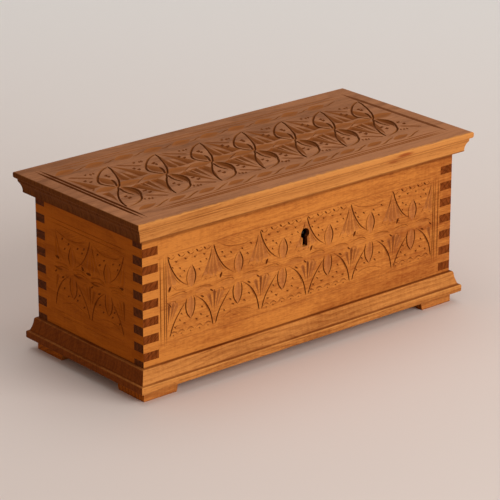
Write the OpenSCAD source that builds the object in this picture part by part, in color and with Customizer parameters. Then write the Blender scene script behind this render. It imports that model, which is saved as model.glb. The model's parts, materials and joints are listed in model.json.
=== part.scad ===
// Wooden box with a hinged lid: finger-jointed walls on a moulded base with four feet,
// a moulded lid board on two brass butt hinges, and a small lock let into the front wall.
// Millimetres. The origin is on the ground under the middle of the box. +X runs along the
// front to the right, +Y points to the back and +Z up.

/* [Walls] */
// Length of the walls along X
body_w = 260; // [200:1:340]
// Depth of the walls along Y
body_d = 110; // [85:1:180]
// Height of the walls
wall_h = 85; // [60:1:140]
// Thickness of the front and back boards
long_t = 9.4; // [9:0.1:14]
// Thickness of the left end board
left_end_t = 12; // [8:0.1:14]
// Thickness of the right end board
right_end_t = 10.3; // [8:0.1:14]

/* [Finger joints] */
// Height of one finger
finger_h = 5.68; // [4:0.01:9]
// Height of the long boards' lowest finger at the two left corners
left_first_finger = 4.1; // [3:0.1:9]
// Height of the long boards' lowest finger at the two right corners
right_first_finger = 2.2; // [1.5:0.1:9]
// Glue line on each side of a finger
glue_gap = 0.04; // [0.01:0.01:0.15]

/* [Base board] */
// Thickness of the base board
base_t = 14.8; // [12:0.1:20]
// Reach of the lowest fillet past the walls
base_out = 6.15; // [5.5:0.05:9]
// Height of the lowest fillet
base_fillet_h = 5.4; // [3.5:0.1:7]
// Rounding of the lowest fillet's edges
base_fillet_r = 1.2; // [0.4:0.1:1.6]
// Step from the fillet's face in to the foot of the slope
base_step = 1.65; // [1.6:0.05:2.4]
// Radius of the rounded shoulder under the walls
base_shoulder_r = 1.6; // [0.8:0.1:2]
// Flat rim between the walls and the shoulder
base_rim = 0.7; // [0.2:0.1:0.9]
// Hollow of the slope
base_slope_bow = 0.35; // [0:0.05:0.6]

/* [Feet] */
// Height of a foot
foot_h = 7.2; // [5:0.5:16]
// Length of a foot's ground face along each wall
foot_l = 25; // [18:0.5:34]
// Lean of a foot's two inner ends
foot_lean = 1.5; // [0:0.1:4]
// Reach of a foot's outer faces past the walls
foot_out = 0.8; // [0:0.1:2]

/* [Lid board] */
// Thickness of the lid board
lid_t = 13.4; // [10.5:0.1:18]
// Reach of the lid's nose past the walls
lid_out = 9.8; // [9.3:0.1:14]
// Height of the nose
lid_nose_h = 4.2; // [3:0.1:4.5]
// Rounding of the nose's lower edge
lid_nose_r = 1.5; // [0.5:0.1:1.5]
// Rounding of the nose's upper edge
lid_nose_top_r = 0.8; // [0.4:0.1:1.5]
// Step from the nose in to the small fillet under it
lid_nose_step = 1.9; // [1.6:0.1:2.4]
// Height of the small fillet
lid_fillet_h = 2; // [0.8:0.1:2.4]
// Lean of the small fillet
lid_fillet_lean = 0.2; // [0:0.05:0.4]
// Depth of the cove from the fillet in to the lid's underside
lid_cove = 2.1; // [1:0.1:2.4]
// Hollow of the cove between the fillet and the underside
lid_cove_bow = 0.7; // [0:0.05:0.8]

/* [Lid carving] */
// Distance from one carved unit to the next along the lid
carve_pitch = 36.2; // [32:0.1:44]
// Reach of the carving to each side of its middle line
carve_reach = 34.5; // [28:0.5:36]
// Plain margin at each end of the carved band
carve_margin = 13; // [11:0.5:30]
// Shift of the carved band to the right
carve_shift_x = 2.4; // [-4:0.1:4]
// Shift of the carved band to the back
carve_shift_y = 0.1; // [-3:0.1:3]
// Width of the S strokes and their arcs
stroke_w = 1.4; // [0.8:0.1:2.2]
// Depth of the S strokes and their arcs
stroke_depth = 0.9; // [0.4:0.1:1.6]
// Width of the two leaves beside an S stroke
carve_leaf_w = 4.6; // [3:0.1:5.4]
// Depth of the leaves
carve_leaf_depth = 0.9; // [0.4:0.1:1.6]
// Depth of the rays in the fans
ray_depth = 1.1; // [0.4:0.1:1.8]

/* [Keyhole] */
// Place of the keyhole to the right of the middle
key_x = 1; // [-20:0.5:20]
// Depth of the keyhole's round below the top of the walls
key_drop = 27.6; // [25:0.1:29]
// Radius of the keyhole's round
key_r = 3.5; // [2.8:0.1:4.2]
// Width of the keyhole's slot
key_slot_w = 4.3; // [3:0.1:5]
// Reach of the slot below the centre of the round
key_slot_l = 8.8; // [7:0.1:10]
// Width of the notch in the bolt that the key's bit works in
key_notch_w = 5.6; // [4.6:0.1:6.4]
// Depth of that notch
key_notch_h = 3.2; // [2:0.1:3.8]
// Radius of the pin that the key turns on
key_pin_r = 0.9; // [0.6:0.05:1.2]
// Distance of the key pin's tip behind the front face
key_pin_back = 2.5; // [1:0.1:3]

/* [Hinges] */
// Length of a hinge
hinge_l = 30; // [22:1:44]
// Distance of each hinge's middle from the end of the walls
hinge_inset = 55; // [35:1:70]
// Width of a leaf on the wood
leaf_w = 7.8; // [6.5:0.1:8.4]
// Thickness of a leaf
leaf_t = 1.1; // [0.8:0.05:1.3]
// Radius of the knuckles
knuckle_r = 2.2; // [1.9:0.05:2.5]
// Radius of the hinge pin
hinge_pin_r = 1; // [0.7:0.05:1.2]
// Distance of the hinge pin's axis behind the back wall
hinge_back = 1.2; // [1:0.05:1.6]
// Running clearance round the hinge pin
pin_fit = 0.05; // [0.02:0.01:0.1]
// Gap between neighbouring knuckles
knuckle_gap = 0.15; // [0.05:0.05:0.4]

/* [Lock] */
// Width of the lock's case
case_w = 42; // [40:0.5:50]
// Height of the case below the end of the keyhole's slot
case_foot = 1.6; // [1:0.1:3]
// Room inside the case from front to back
case_room = 4.1; // [3.9:0.05:4.3]
// Thickness of the case's sheet
cap_t = 0.8; // [0.5:0.1:1]
// Margin of the lock's plate past each side of the case
lock_margin = 4.5; // [4:0.1:7]
// Margin of the lock's plate below the case
lock_foot = 2; // [1:0.1:5]
// Distance of the lock's screws from the plate's top and bottom
lock_screw_edge = 6; // [4:0.1:9]
// Thickness of the lock's plate and of the strike plate
plate_t = 1.2; // [1:0.1:1.4]
// Width of the selvedge on the wall's top edge
selvedge_w = 7.4; // [6.6:0.1:7.8]
// Travel of the bolt
bolt_travel = 4.5; // [3.5:0.1:4.8]
// Thickness of the bolt
bolt_t = 1.6; // [1.2:0.1:1.7]
// Height of the bolt's fingers
bolt_finger_h = 2.6; // [2:0.1:3]
// Width of the bolt's arms
bolt_arm_w = 3; // [2:0.1:3.4]
// Gap between a bolt finger's tip and its staple when the lock is open
tip_gap = 0.5; // [0.3:0.1:0.8]
// Half the distance between the two staples
staple_x = 8; // [7.5:0.1:9]
// Thickness of a staple
staple_t = 1.5; // [1:0.1:1.7]
// Depth of a staple below the lid
staple_h = 9; // [8.4:0.1:10]
// Width of a staple from front to back
staple_w = 3.1; // [2.9:0.1:3.2]
// Room round a staple in the selvedge, which its swing with the lid needs
staple_room = 0.5; // [0.45:0.05:0.7]
// Room round a bolt finger in its staple
finger_room = 0.3; // [0.2:0.05:0.4]
// Reach of the strike plate past each staple
strike_reach = 8; // [7:0.1:12]
// Distance of the strike plate's screws past each staple
strike_screw_out = 5; // [4:0.1:6]
// Inset of the strike plate's width from the selvedge's
strike_inset = 0.8; // [0.4:0.1:1.2]
// Radius of the two pillars that the bolt slides on
pillar_r = 1; // [0.7:0.05:1.3]
// Radius of the pillars' shoulders, which keep the bolt off the plate
shoulder_r = 1.9; // [1.6:0.05:2.4]
// Distance of the first pillar past the left staple
pillar_out = 3; // [2:0.1:4]
// Place of the second pillar to the right of the keyhole
pillar_in = 3; // [1:0.1:4]
// Length of the spring strip
spring_l = 14; // [10:0.1:16]
// Width of the spring strip
spring_w = 3; // [2:0.1:3.4]
// Thickness of the spring strip
spring_t = 0.3; // [0.2:0.05:0.4]
// Place of the spring's middle to the left of the keyhole
spring_x = 4; // [2:0.1:6]

/* [Screws] */
// Shank radius of the hinge and lock screws
small_screw_r = 1; // [0.7:0.05:1.1]
// Length of the hinge screws
hinge_screw_l = 8; // [6:0.5:10]
// Length of the lock screws
lock_screw_l = 5.5; // [4:0.5:7]
// Shank radius of the base screws
base_screw_r = 1.5; // [1.2:0.05:1.8]
// Length of the base screws
base_screw_l = 30; // [24:1:40]

/* [Clearances] */
// Clearance of metal parts let into the wood
inlay_fit = 0.1; // [0.05:0.01:0.15]
// Depth of the plates and leaves below the wood's face, so that the lid closes on wood
inlay_drop = 0.1; // [0.05:0.01:0.15]
// Clearance round a screw in its hole
screw_fit = 0.03; // [0.01:0.01:0.1]
// Clearance between the moving parts of the lock
lock_fit = 0.1; // [0.05:0.01:0.15]

/* [Hidden] */
$fn = 48;

half_w = body_w / 2;
half_d = body_d / 2;
wall_bottom = foot_h + base_t;
wall_top = wall_bottom + wall_h;
pitch = 2 * finger_h;
fingers = floor((wall_h - max(left_first_finger, right_first_finger)) / pitch);
arc_steps = 6;
bow_steps = 8;
past = 1;

// Inner faces of the front and back boards, and the hinge axis
front_in = half_d - long_t;
hinge_x = half_w - hinge_inset;
hinge_y = half_d + hinge_back;
knuckle_l = (hinge_l - 2 * knuckle_gap) / 3;
leaf_screw_y = half_d - leaf_w / 2;
leaf_screw_step = hinge_l / 3;

// Faces of the lock, from the inside of the front board to the outside
lock_face = -front_in;
case_back = lock_face - plate_t;
case_front = case_back - case_room;
cap_face = case_front - cap_t;
lock_mid = (case_back + case_front) / 2;

// Height of the case and size of the plate, which follow the keyhole
case_h = key_drop + key_slot_l + case_foot;
lock_w = case_w + 2 * lock_margin;
lock_h = case_h + lock_foot;

// Heights in the lock, measured down from the top of the walls
finger_top = staple_h / 2;
finger_low = finger_top + bolt_finger_h;
bolt_top = staple_h + 2 * tip_gap;
bolt_low = key_drop - key_slot_l + key_notch_h;
pillar_drop = (bolt_top + bolt_low) / 2;

// Places in the bolt at rest, measured from the keyhole
finger_reach = bolt_travel + 2 * tip_gap;
bolt_right = staple_x - staple_t / 2;
bolt_left = -staple_x - staple_t / 2 - tip_gap - finger_reach - bolt_arm_w;
pillar_x = [-staple_x - pillar_out, pillar_in];

// Screw heads and screw places
small_head_r = 1.85 * small_screw_r;
base_head_r = 1.9 * base_screw_r;
lock_screw_x = (case_w + lock_margin) / 2;
lock_screw_drop = [lock_screw_edge, lock_h - lock_screw_edge];
strike_half = staple_x + strike_reach;
strike_screw_x = staple_x + strike_screw_out;
strike_w = selvedge_w - strike_inset;
foot_clear = half_w - foot_l - foot_lean;

// Points of an arc about c, from angle a to angle b
function arc(c, r, a, b) =
    [for (i = [0:arc_steps]) c + r * [cos(a + (b - a) * i / arc_steps), sin(a + (b - a) * i / arc_steps)]];

// Points from p to q on a shallow curve that is hollow by depth
function bow(p, q, depth) =
    let (n = [p.y - q.y, q.x - p.x] / norm(q - p))
    [for (i = [0:bow_steps]) let (t = i / bow_steps) p + (q - p) * t + n * 4 * depth * t * (1 - t)];

// Moulding outlines: reach past the walls, and height above the board's underside
lid_fillet_out = lid_out - lid_nose_step;
lid_cove_out = lid_fillet_out - lid_fillet_lean;
lid_profile = concat(
    bow([lid_cove_out - lid_cove, 0], [lid_cove_out, lid_t - lid_nose_h - lid_fillet_h], lid_cove_bow),
    [[lid_fillet_out, lid_t - lid_nose_h]],
    arc([lid_out - lid_nose_r, lid_t - lid_nose_h + lid_nose_r], lid_nose_r, -90, 0),
    arc([lid_out - lid_nose_top_r, lid_t - lid_nose_top_r], lid_nose_top_r, 0, 90)
);
base_profile = concat(
    arc([base_out - base_fillet_r, base_fillet_r], base_fillet_r, -90, 0),
    arc([base_out - base_fillet_r, base_fillet_h - base_fillet_r], base_fillet_r, 0, 90),
    bow(
        [base_out - base_step, base_fillet_h],
        [base_rim + base_shoulder_r, base_t - base_shoulder_r],
        base_slope_bow
    ),
    arc([base_rim, base_t - base_shoulder_r], base_shoulder_r, 0, 90)
);

// Whole section of a moulded board whose walls stand half apart from the middle
function section(half, profile) = concat(
    [for (p = profile) [half + p.x, p.y]],
    [for (i = [len(profile) - 1:-1:0]) [-half - profile[i].x, profile[i].y]]
);

// Board with the same moulding on all four edges, its underside at z = 0
module moulded_board(profile, reach) {
    intersection() {
        rotate([90, 0, 90])
            linear_extrude(body_w + 2 * reach + past, center = true)
                polygon(section(half_d, profile));
        rotate([90, 0, 0])
            linear_extrude(body_d + 2 * reach + past, center = true)
                polygon(section(half_w, profile));
    }
}

// Thickness of an end board, and height of the underside of its finger i; e is -1 left, 1 right
function end_t(e) = e < 0 ? left_end_t : right_end_t;
function finger_z(e, i) =
    wall_bottom + (e < 0 ? left_first_finger : right_first_finger) + i * pitch;

// Countersunk screw with its head's face at z = 0, pointing down
module screw(head_r, shank_r, length) {
    head_h = head_r - shank_r;
    slot_w = 0.3 * head_r;
    difference() {
        union() {
            translate([0, 0, -head_h]) cylinder(head_h, shank_r, head_r);
            translate([0, 0, -length + 2 * shank_r]) cylinder(length - 2 * shank_r, shank_r, shank_r);
            translate([0, 0, -length]) cylinder(2 * shank_r, 0.1 * shank_r, shank_r);
        }
        translate([-head_r, -slot_w / 2, -0.35 * head_h]) cube([2 * head_r, slot_w, head_h]);
    }
}

// Hole for that screw; it is straight past the head, and the head's cone opens past the face
module screw_hole(head_r, shank_r, length) {
    head_h = head_r - shank_r;
    r = shank_r + screw_fit;
    translate([0, 0, -length - screw_fit]) cylinder(length + screw_fit + past, r, r);
    translate([0, 0, -head_h]) cylinder(head_h, r, head_r + screw_fit);
    cylinder(past, head_r + screw_fit, head_r + screw_fit);
}

// Places of the screws in a leaf, along X from the hinge's middle
leaf_screw_places = [-leaf_screw_step, 0, leaf_screw_step];

// Places of the base screws under the walls
base_screw_places = concat(
    [for (s = [-1, 1]) for (x = [-1, 0, 1]) [0.8 * foot_clear * x, s * (half_d - long_t / 2)]],
    [for (e = [-1, 1]) [e * (half_w - end_t(e) / 2), 0]]
);

module base_screw_cuts() {
    for (p = base_screw_places)
        translate([p.x, p.y, foot_h]) rotate([180, 0, 0])
            screw_hole(base_head_r, base_screw_r, base_screw_l);
}

// Long wall with notches that take the end boards' fingers; s is -1 at the front, 1 at the back
module long_board(s) {
    y = s < 0 ? -half_d : half_d - long_t;
    difference() {
        translate([-half_w, y, wall_bottom]) cube([body_w, long_t, wall_h]);
        for (e = [-1, 1]) for (i = [0:fingers - 1])
            translate([e < 0 ? -half_w - past : half_w - end_t(e), y - past, finger_z(e, i)])
                cube([end_t(e) + past, long_t + 2 * past, finger_h]);
        base_screw_cuts();
    }
}

// End wall with fingers that reach the outer faces of the long walls; e is -1 left, 1 right
module end_board(e) {
    x = e < 0 ? -half_w : half_w - end_t(e);
    color("#7a4420") difference() {
        union() {
            translate([x, -front_in, wall_bottom]) cube([end_t(e), 2 * front_in, wall_h]);
            for (i = [0:fingers - 1])
                translate([x, -half_d, finger_z(e, i) + glue_gap])
                    cube([end_t(e), body_d, finger_h - 2 * glue_gap]);
        }
        base_screw_cuts();
    }
}

// Keyhole cut along Y, round above and slot below
module keyhole(depth_from, depth_to, grow) {
    translate([key_x, depth_to, wall_top - key_drop]) rotate([90, 0, 0])
        cylinder(depth_to - depth_from, key_r + grow, key_r + grow);
    translate([key_x - key_slot_w / 2 - grow, depth_from, wall_top - key_drop - key_slot_l - grow])
        cube([key_slot_w + 2 * grow, depth_to - depth_from, key_slot_l + grow]);
}

// Places of the lock's own screws, as [x, drop below the wall's top]
lock_screw_places = [for (s = [-1, 1]) for (d = lock_screw_drop) [s * lock_screw_x, d]];

module lock_screw_at(p) {
    translate([key_x + p.x, lock_face, wall_top - p.y]) rotate([-90, 0, 0]) children();
}

// Room for the lock: case pocket, plate recess, selvedge recess, keyhole and screw holes
module lock_cuts() {
    f = inlay_fit;
    translate([key_x - case_w / 2 - f, cap_face - f, wall_top - case_h - f])
        cube([case_w + 2 * f, lock_face - cap_face + f + past, case_h + f + past]);
    translate([key_x - lock_w / 2 - f, case_back, wall_top - lock_h - f])
        cube([lock_w + 2 * f, plate_t + past, lock_h + f + past]);
    translate([key_x - lock_w / 2 - f, lock_face - selvedge_w - f, wall_top - plate_t - inlay_drop])
        cube([lock_w + 2 * f, selvedge_w + f + past, plate_t + inlay_drop + past]);
    keyhole(-half_d - past, lock_mid, 0);
    for (p = lock_screw_places) lock_screw_at(p) screw_hole(small_head_r, small_screw_r, lock_screw_l);
}

module front_board() {
    color("#c8813c") difference() {
        long_board(-1);
        lock_cuts();
    }
}

// Recess round a hinge on the box side: leaf mortise, knuckle recess and pilot holes
module hinge_box_cuts() {
    f = inlay_fit;
    for (s = [-1, 1]) translate([s * hinge_x, 0, wall_top]) {
        translate([-hinge_l / 2 - f, half_d - leaf_w - f, -leaf_t - inlay_drop])
            cube([hinge_l + 2 * f, leaf_w + f + past, leaf_t + inlay_drop + past]);
        translate([-hinge_l / 2 - f, hinge_y, 0]) rotate([0, 90, 0])
            cylinder(hinge_l + 2 * f, knuckle_r + f, knuckle_r + f);
        for (x = leaf_screw_places) translate([x, leaf_screw_y, -inlay_drop])
            screw_hole(small_head_r, small_screw_r, hinge_screw_l);
    }
}

module back_board() {
    color("#bd7636") difference() {
        long_board(1);
        hinge_box_cuts();
    }
}

module left_end_board() {
    end_board(-1);
}

module right_end_board() {
    end_board(1);
}

module base_board() {
    color("#a9652d") difference() {
        translate([0, 0, foot_h]) moulded_board(base_profile, base_out);
        base_screw_cuts();
    }
}

// Corner block under the base, a little proud of the walls outside and leaning at its inner ends
module foot(sx, sy) {
    color("#a9652d") intersection() {
        rotate([90, 0, 0])
            linear_extrude(body_d + 2 * foot_out + past, center = true)
                foot_side(sx, half_w);
        rotate([90, 0, 90])
            linear_extrude(body_w + 2 * foot_out + past, center = true)
                foot_side(sy, half_d);
    }
}

module foot_side(s, half) {
    polygon([
        [s * (half + foot_out), 0],
        [s * (half + foot_out), foot_h],
        [s * (half - foot_l - foot_lean), foot_h],
        [s * (half - foot_l), 0]
    ]);
}

module front_left_foot() {
    foot(-1, -1);
}

module front_right_foot() {
    foot(1, -1);
}

module back_left_foot() {
    foot(-1, 1);
}

module back_right_foot() {
    foot(1, 1);
}

// Recesses in the lid's underside for the hinges and the strike plate
module lid_cuts() {
    f = inlay_fit;
    for (s = [-1, 1]) translate([s * hinge_x, 0, wall_top]) {
        translate([-hinge_l / 2 - f, half_d - leaf_w - f, -past])
            cube([hinge_l + 2 * f, leaf_w + f + hinge_back, leaf_t + inlay_drop + past]);
        translate([-hinge_l / 2 - f, hinge_y, 0]) rotate([0, 90, 0])
            cylinder(hinge_l + 2 * f, knuckle_r + f, knuckle_r + f);
        for (x = leaf_screw_places) translate([x, leaf_screw_y, inlay_drop]) rotate([180, 0, 0])
            screw_hole(small_head_r, small_screw_r, hinge_screw_l);
    }
    translate([key_x - strike_half - f, lock_mid - strike_w / 2 - f, wall_top - past])
        cube([2 * strike_half + 2 * f, strike_w + 2 * f, plate_t + inlay_drop + past]);
    for (s = [-1, 1]) strike_screw_at(s) screw_hole(small_head_r, small_screw_r, hinge_screw_l);
}

module strike_screw_at(s) {
    translate([key_x + s * strike_screw_x, lock_mid, wall_top + inlay_drop]) rotate([180, 0, 0]) children();
}

// Carved lines of one unit, as shares of the pitch and the reach from the unit's middle
s_stroke = [
    [-0.47, -0.92], [-0.37, -0.6], [-0.22, -0.33], [0, -0.03],
    [0.15, 0.15], [0.31, 0.43], [0.43, 0.71], [0.53, 1]
];
back_arc = [[0.52, 1], [0.28, 0.87], [0.07, 0.67], [-0.08, 0.46], [-0.12, 0.29], [-0.09, 0.2]];
front_arc = [[0.17, -0.25], [0.17, -0.36], [0.1, -0.56], [-0.03, -0.77], [-0.19, -0.89], [-0.47, -0.99]];
back_leaf = [[0.03, 0.59], [0.02, 0.42], [0.01, 0.25], [-0.01, 0.1]];
front_leaf = [[0.03, -0.07], [0.07, -0.24], [0.07, -0.42], [0.01, -0.64]];

// Rays of the fans beside a unit: tip, then the two corners of the blunt end
fan_rays = [
    [[0.525, 0.8], [0.25, 0.21], [0.41, 0.23]],
    [[0.565, 0.86], [0.62, 0.18], [0.83, 0.26]],
    [[0.515, -0.86], [0.2, -0.19], [0.35, -0.16]],
    [[0.53, -0.6], [0.5, -0.13], [0.585, -0.13]],
    [[0.55, -0.77], [0.63, -0.15], [0.82, -0.15]]
];
first_rays = [
    [[-0.46, 0.8], [-0.45, 0.22], [-0.24, 0.22]],
    [[-0.44, -0.61], [-0.31, -0.19], [-0.24, -0.19]]
];

// Carved units that fit along the lid
carve_units = floor((body_w + 2 * lid_out - 2 * carve_margin) / carve_pitch);

// Place on the lid's top of a point given in shares, for unit i
function carved(i, p) = [
    carve_shift_x + (i - (carve_units - 1) / 2 + p.x) * carve_pitch,
    carve_shift_y + p.y * carve_reach
];

// V cut along a line, which runs out to a point at each end; its flat top is rise above the board
module v_cut(line, width, depth) {
    n = len(line);
    rise = 0.2 * depth;
    half = width / 2 * (depth + rise) / depth;
    side = [for (i = [1:n - 2]) let (d = line[i + 1] - line[i - 1]) half * [-d.y, d.x] / norm(d)];
    points = concat(
        [for (p = line) [p.x, p.y, rise]],
        [for (i = [1:n - 2]) [line[i].x + side[i - 1].x, line[i].y + side[i - 1].y, rise]],
        [for (i = [1:n - 2]) [line[i].x - side[i - 1].x, line[i].y - side[i - 1].y, rise]],
        [for (i = [1:n - 2]) [line[i].x, line[i].y, -depth]]
    );
    left = function (i) i == 0 || i == n - 1 ? i : n - 1 + i;
    right = function (i) i == 0 || i == n - 1 ? i : 2 * n - 3 + i;
    low = function (i) i == 0 || i == n - 1 ? i : 3 * n - 5 + i;
    faces = [
        for (i = [0:n - 2]) for (strip = [
            [left(i), left(i + 1), low(i + 1), low(i)],
            [low(i), low(i + 1), right(i + 1), right(i)],
            [right(i), right(i + 1), left(i + 1), left(i)]
        ]) for (f = [[strip[0], strip[2], strip[1]], [strip[0], strip[3], strip[2]]])
            if (f[0] != f[1] && f[1] != f[2] && f[2] != f[0]) f
    ];
    polyhedron(points, faces);
}

// Ray that widens and deepens from its tip almost to its blunt end
module ray_cut(tip, a, b, depth) {
    rise = 0.2 * depth;
    low = 0.9 * (a + b) / 2 + 0.1 * tip;
    turned = cross(a - tip, b - tip) > 0;
    p = turned ? b : a;
    q = turned ? a : b;
    polyhedron(
        [[tip.x, tip.y, rise], [p.x, p.y, rise], [q.x, q.y, rise], [low.x, low.y, -depth]],
        [[0, 1, 2], [0, 3, 1], [0, 2, 3], [1, 3, 2]]
    );
}

// Carving in the lid's top; the last unit has no fan on its right
module lid_carving() {
    translate([0, 0, wall_top + lid_t]) for (i = [0:carve_units - 1]) {
        for (line = [s_stroke, back_arc, front_arc])
            v_cut([for (p = line) carved(i, p)], stroke_w, stroke_depth);
        for (line = [back_leaf, front_leaf])
            v_cut([for (p = line) carved(i, p)], carve_leaf_w, carve_leaf_depth);
        for (r = concat(i == 0 ? first_rays : [], i < carve_units - 1 ? fan_rays : []))
            ray_cut(carved(i, r[0]), carved(i, r[1]), carved(i, r[2]), ray_depth);
    }
}

module lid_board() {
    color("#9c6238") difference() {
        translate([0, 0, wall_top]) moulded_board(lid_profile, lid_out);
        lid_cuts();
        lid_carving();
    }
}

// One knuckle of a hinge, from x0 along X
module knuckle(x0, length) {
    translate([x0, hinge_y, wall_top]) rotate([0, 90, 0]) cylinder(length, knuckle_r, knuckle_r);
}

module hinge_bore(x) {
    translate([x - hinge_l / 2 - past, hinge_y, wall_top]) rotate([0, 90, 0])
        cylinder(hinge_l + 2 * past, hinge_pin_r + pin_fit, hinge_pin_r + pin_fit);
}

// Leaf on the wall's top edge, with the two outer knuckles
module box_leaf(x) {
    left = x - hinge_l / 2;
    mid = left + knuckle_l;
    color("#b8923f") difference() {
        union() {
            translate([left, half_d - leaf_w, wall_top - inlay_drop - leaf_t])
                cube([hinge_l, leaf_w + hinge_back - hinge_pin_r, leaf_t]);
            knuckle(left, knuckle_l);
            knuckle(left + 2 * (knuckle_l + knuckle_gap), knuckle_l);
        }
        translate([mid, hinge_y, wall_top]) rotate([0, 90, 0])
            cylinder(knuckle_l + 2 * knuckle_gap, knuckle_r + pin_fit, knuckle_r + pin_fit);
        hinge_bore(x);
        for (s = leaf_screw_places) translate([x + s, leaf_screw_y, wall_top - inlay_drop])
            screw_hole(small_head_r, small_screw_r, hinge_screw_l);
    }
}

// Leaf under the lid, with the middle knuckle
module lid_leaf(x) {
    left = x - hinge_l / 2;
    mid = left + knuckle_l + knuckle_gap;
    color("#b8923f") difference() {
        union() {
            translate([left, half_d - leaf_w, wall_top + inlay_drop])
                cube([hinge_l, leaf_w + hinge_back - hinge_pin_r, leaf_t]);
            knuckle(mid, knuckle_l);
        }
        for (x0 = [left - past, mid + knuckle_l]) translate([x0, hinge_y, wall_top]) rotate([0, 90, 0])
            cylinder(knuckle_l + knuckle_gap + past, knuckle_r + pin_fit, knuckle_r + pin_fit);
        hinge_bore(x);
        for (s = leaf_screw_places) translate([x + s, leaf_screw_y, wall_top + inlay_drop])
            rotate([180, 0, 0]) screw_hole(small_head_r, small_screw_r, hinge_screw_l);
    }
}

module hinge_pin(x) {
    color("#a07c30") translate([x - hinge_l / 2, hinge_y, wall_top]) rotate([0, 90, 0])
        cylinder(hinge_l, hinge_pin_r, hinge_pin_r);
}

module left_hinge_box_leaf() {
    box_leaf(-hinge_x);
}

module left_hinge_lid_leaf() {
    lid_leaf(-hinge_x);
}

module left_hinge_pin() {
    hinge_pin(-hinge_x);
}

module right_hinge_box_leaf() {
    box_leaf(hinge_x);
}

module right_hinge_lid_leaf() {
    lid_leaf(hinge_x);
}

module right_hinge_pin() {
    hinge_pin(hinge_x);
}

module hinge_box_screws() {
    color("#c9a859") for (s = [-1, 1]) for (x = leaf_screw_places)
        translate([s * hinge_x + x, leaf_screw_y, wall_top - inlay_drop])
            screw(small_head_r, small_screw_r, hinge_screw_l);
}

module hinge_lid_screws() {
    color("#c9a859") for (s = [-1, 1]) for (x = leaf_screw_places)
        translate([s * hinge_x + x, leaf_screw_y, wall_top + inlay_drop]) rotate([180, 0, 0])
            screw(small_head_r, small_screw_r, hinge_screw_l);
}

// Places of the two pillars that the bolt slides on
module at_pillars() {
    for (x = pillar_x) translate([key_x + x, 0, wall_top - pillar_drop]) children();
}

// Round bar along Y between two depths
module bar(from, to, r) {
    translate([0, to, 0]) rotate([90, 0, 0]) cylinder(to - from, r, r);
}

module lock_plate() {
    slot_x = staple_t + 2 * staple_room;
    slot_y = staple_w + 2 * staple_room;
    color("#b8923f") difference() {
        union() {
            translate([key_x - lock_w / 2, case_back, wall_top - lock_h])
                cube([lock_w, plate_t, lock_h - inlay_drop]);
            translate([key_x - lock_w / 2, lock_face - selvedge_w, wall_top - inlay_drop - plate_t])
                cube([lock_w, selvedge_w, plate_t]);
        }
        at_staples() translate([-slot_x / 2, -slot_y / 2, -2 * plate_t])
            cube([slot_x, slot_y, 3 * plate_t]);
        at_pillars() bar(case_back - past, lock_face + past, pillar_r + screw_fit);
        translate([key_x, 0, wall_top - key_drop])
            bar(case_back - past, lock_face + past, key_pin_r + screw_fit);
        for (p = lock_screw_places) lock_screw_at(p) screw_hole(small_head_r, small_screw_r, lock_screw_l);
    }
}

// Sheet cap over the works, open to the plate behind and to the selvedge above
module lock_cap() {
    top = inlay_drop + plate_t;
    color("#8a8578") difference() {
        translate([key_x - case_w / 2, cap_face, wall_top - case_h])
            cube([case_w, case_room + cap_t, case_h - top]);
        translate([key_x - case_w / 2 + cap_t, case_front, wall_top - case_h + cap_t])
            cube([case_w - 2 * cap_t, case_room + past, case_h]);
        keyhole(cap_face - past, case_back, 0);
        at_pillars() bar(cap_face - past, case_front + past, pillar_r + screw_fit);
    }
}

// Bolt seen from the front: a plate with a notch for the key, two arms and two fingers
module bolt_outline() {
    low = -bolt_low;
    top = -bolt_top;
    for (s = [-1, 1]) {
        tip = s * staple_x - staple_t / 2 - tip_gap;
        arm = tip - finger_reach;
        translate([arm - bolt_arm_w, top - past]) square([bolt_arm_w, past - finger_top - top]);
        translate([arm - past, -finger_low]) square([tip - arm + past, bolt_finger_h]);
    }
    difference() {
        translate([bolt_left, low]) square([bolt_right - bolt_left, top - low]);
        translate([-key_notch_w / 2, low - past]) square([key_notch_w, key_notch_h + past]);
        for (x = pillar_x) {
            translate([x - bolt_travel, -pillar_drop - pillar_r - lock_fit])
                square([bolt_travel, 2 * (pillar_r + lock_fit)]);
            for (e = [x - bolt_travel, x]) translate([e, -pillar_drop]) circle(pillar_r + lock_fit);
        }
    }
}

module lock_bolt() {
    color("#a9a49a") translate([key_x, lock_mid + bolt_t / 2, wall_top]) rotate([90, 0, 0])
        linear_extrude(bolt_t) bolt_outline();
}

// Bowed strip between the cap and the bolt, which holds the bolt where it is put
module lock_spring() {
    half = spring_l / 2;
    front = case_front + lock_fit / 2;
    rise = lock_mid - bolt_t / 2 - lock_fit / 2 - spring_t - front;
    low = bow([-half, front], [half, front], rise);
    top = wall_top - bolt_top - 4 * lock_fit;
    color("#8f8f95") translate([key_x - spring_x, 0, top - spring_w]) linear_extrude(spring_w)
        polygon(concat(low, [for (i = [len(low) - 1:-1:0]) low[i] + [0, spring_t]]));
}

module lock_key_pin() {
    color("#a9a49a") translate([key_x, 0, wall_top - key_drop])
        bar(-half_d + key_pin_back, lock_face - lock_fit, key_pin_r);
}

module lock_pillars() {
    color("#a9a49a") at_pillars() {
        bar(cap_face, lock_face - lock_fit, pillar_r);
        bar(lock_mid + bolt_t / 2 + lock_fit / 2, case_back, shoulder_r);
    }
}

module lock_screws() {
    color("#c9a859") for (p = lock_screw_places) lock_screw_at(p)
        screw(small_head_r, small_screw_r, lock_screw_l);
}

// Places of the two staples, at the height of the wall's top
module at_staples() {
    for (s = [-1, 1]) translate([key_x + s * staple_x, lock_mid, wall_top]) children();
}

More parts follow.
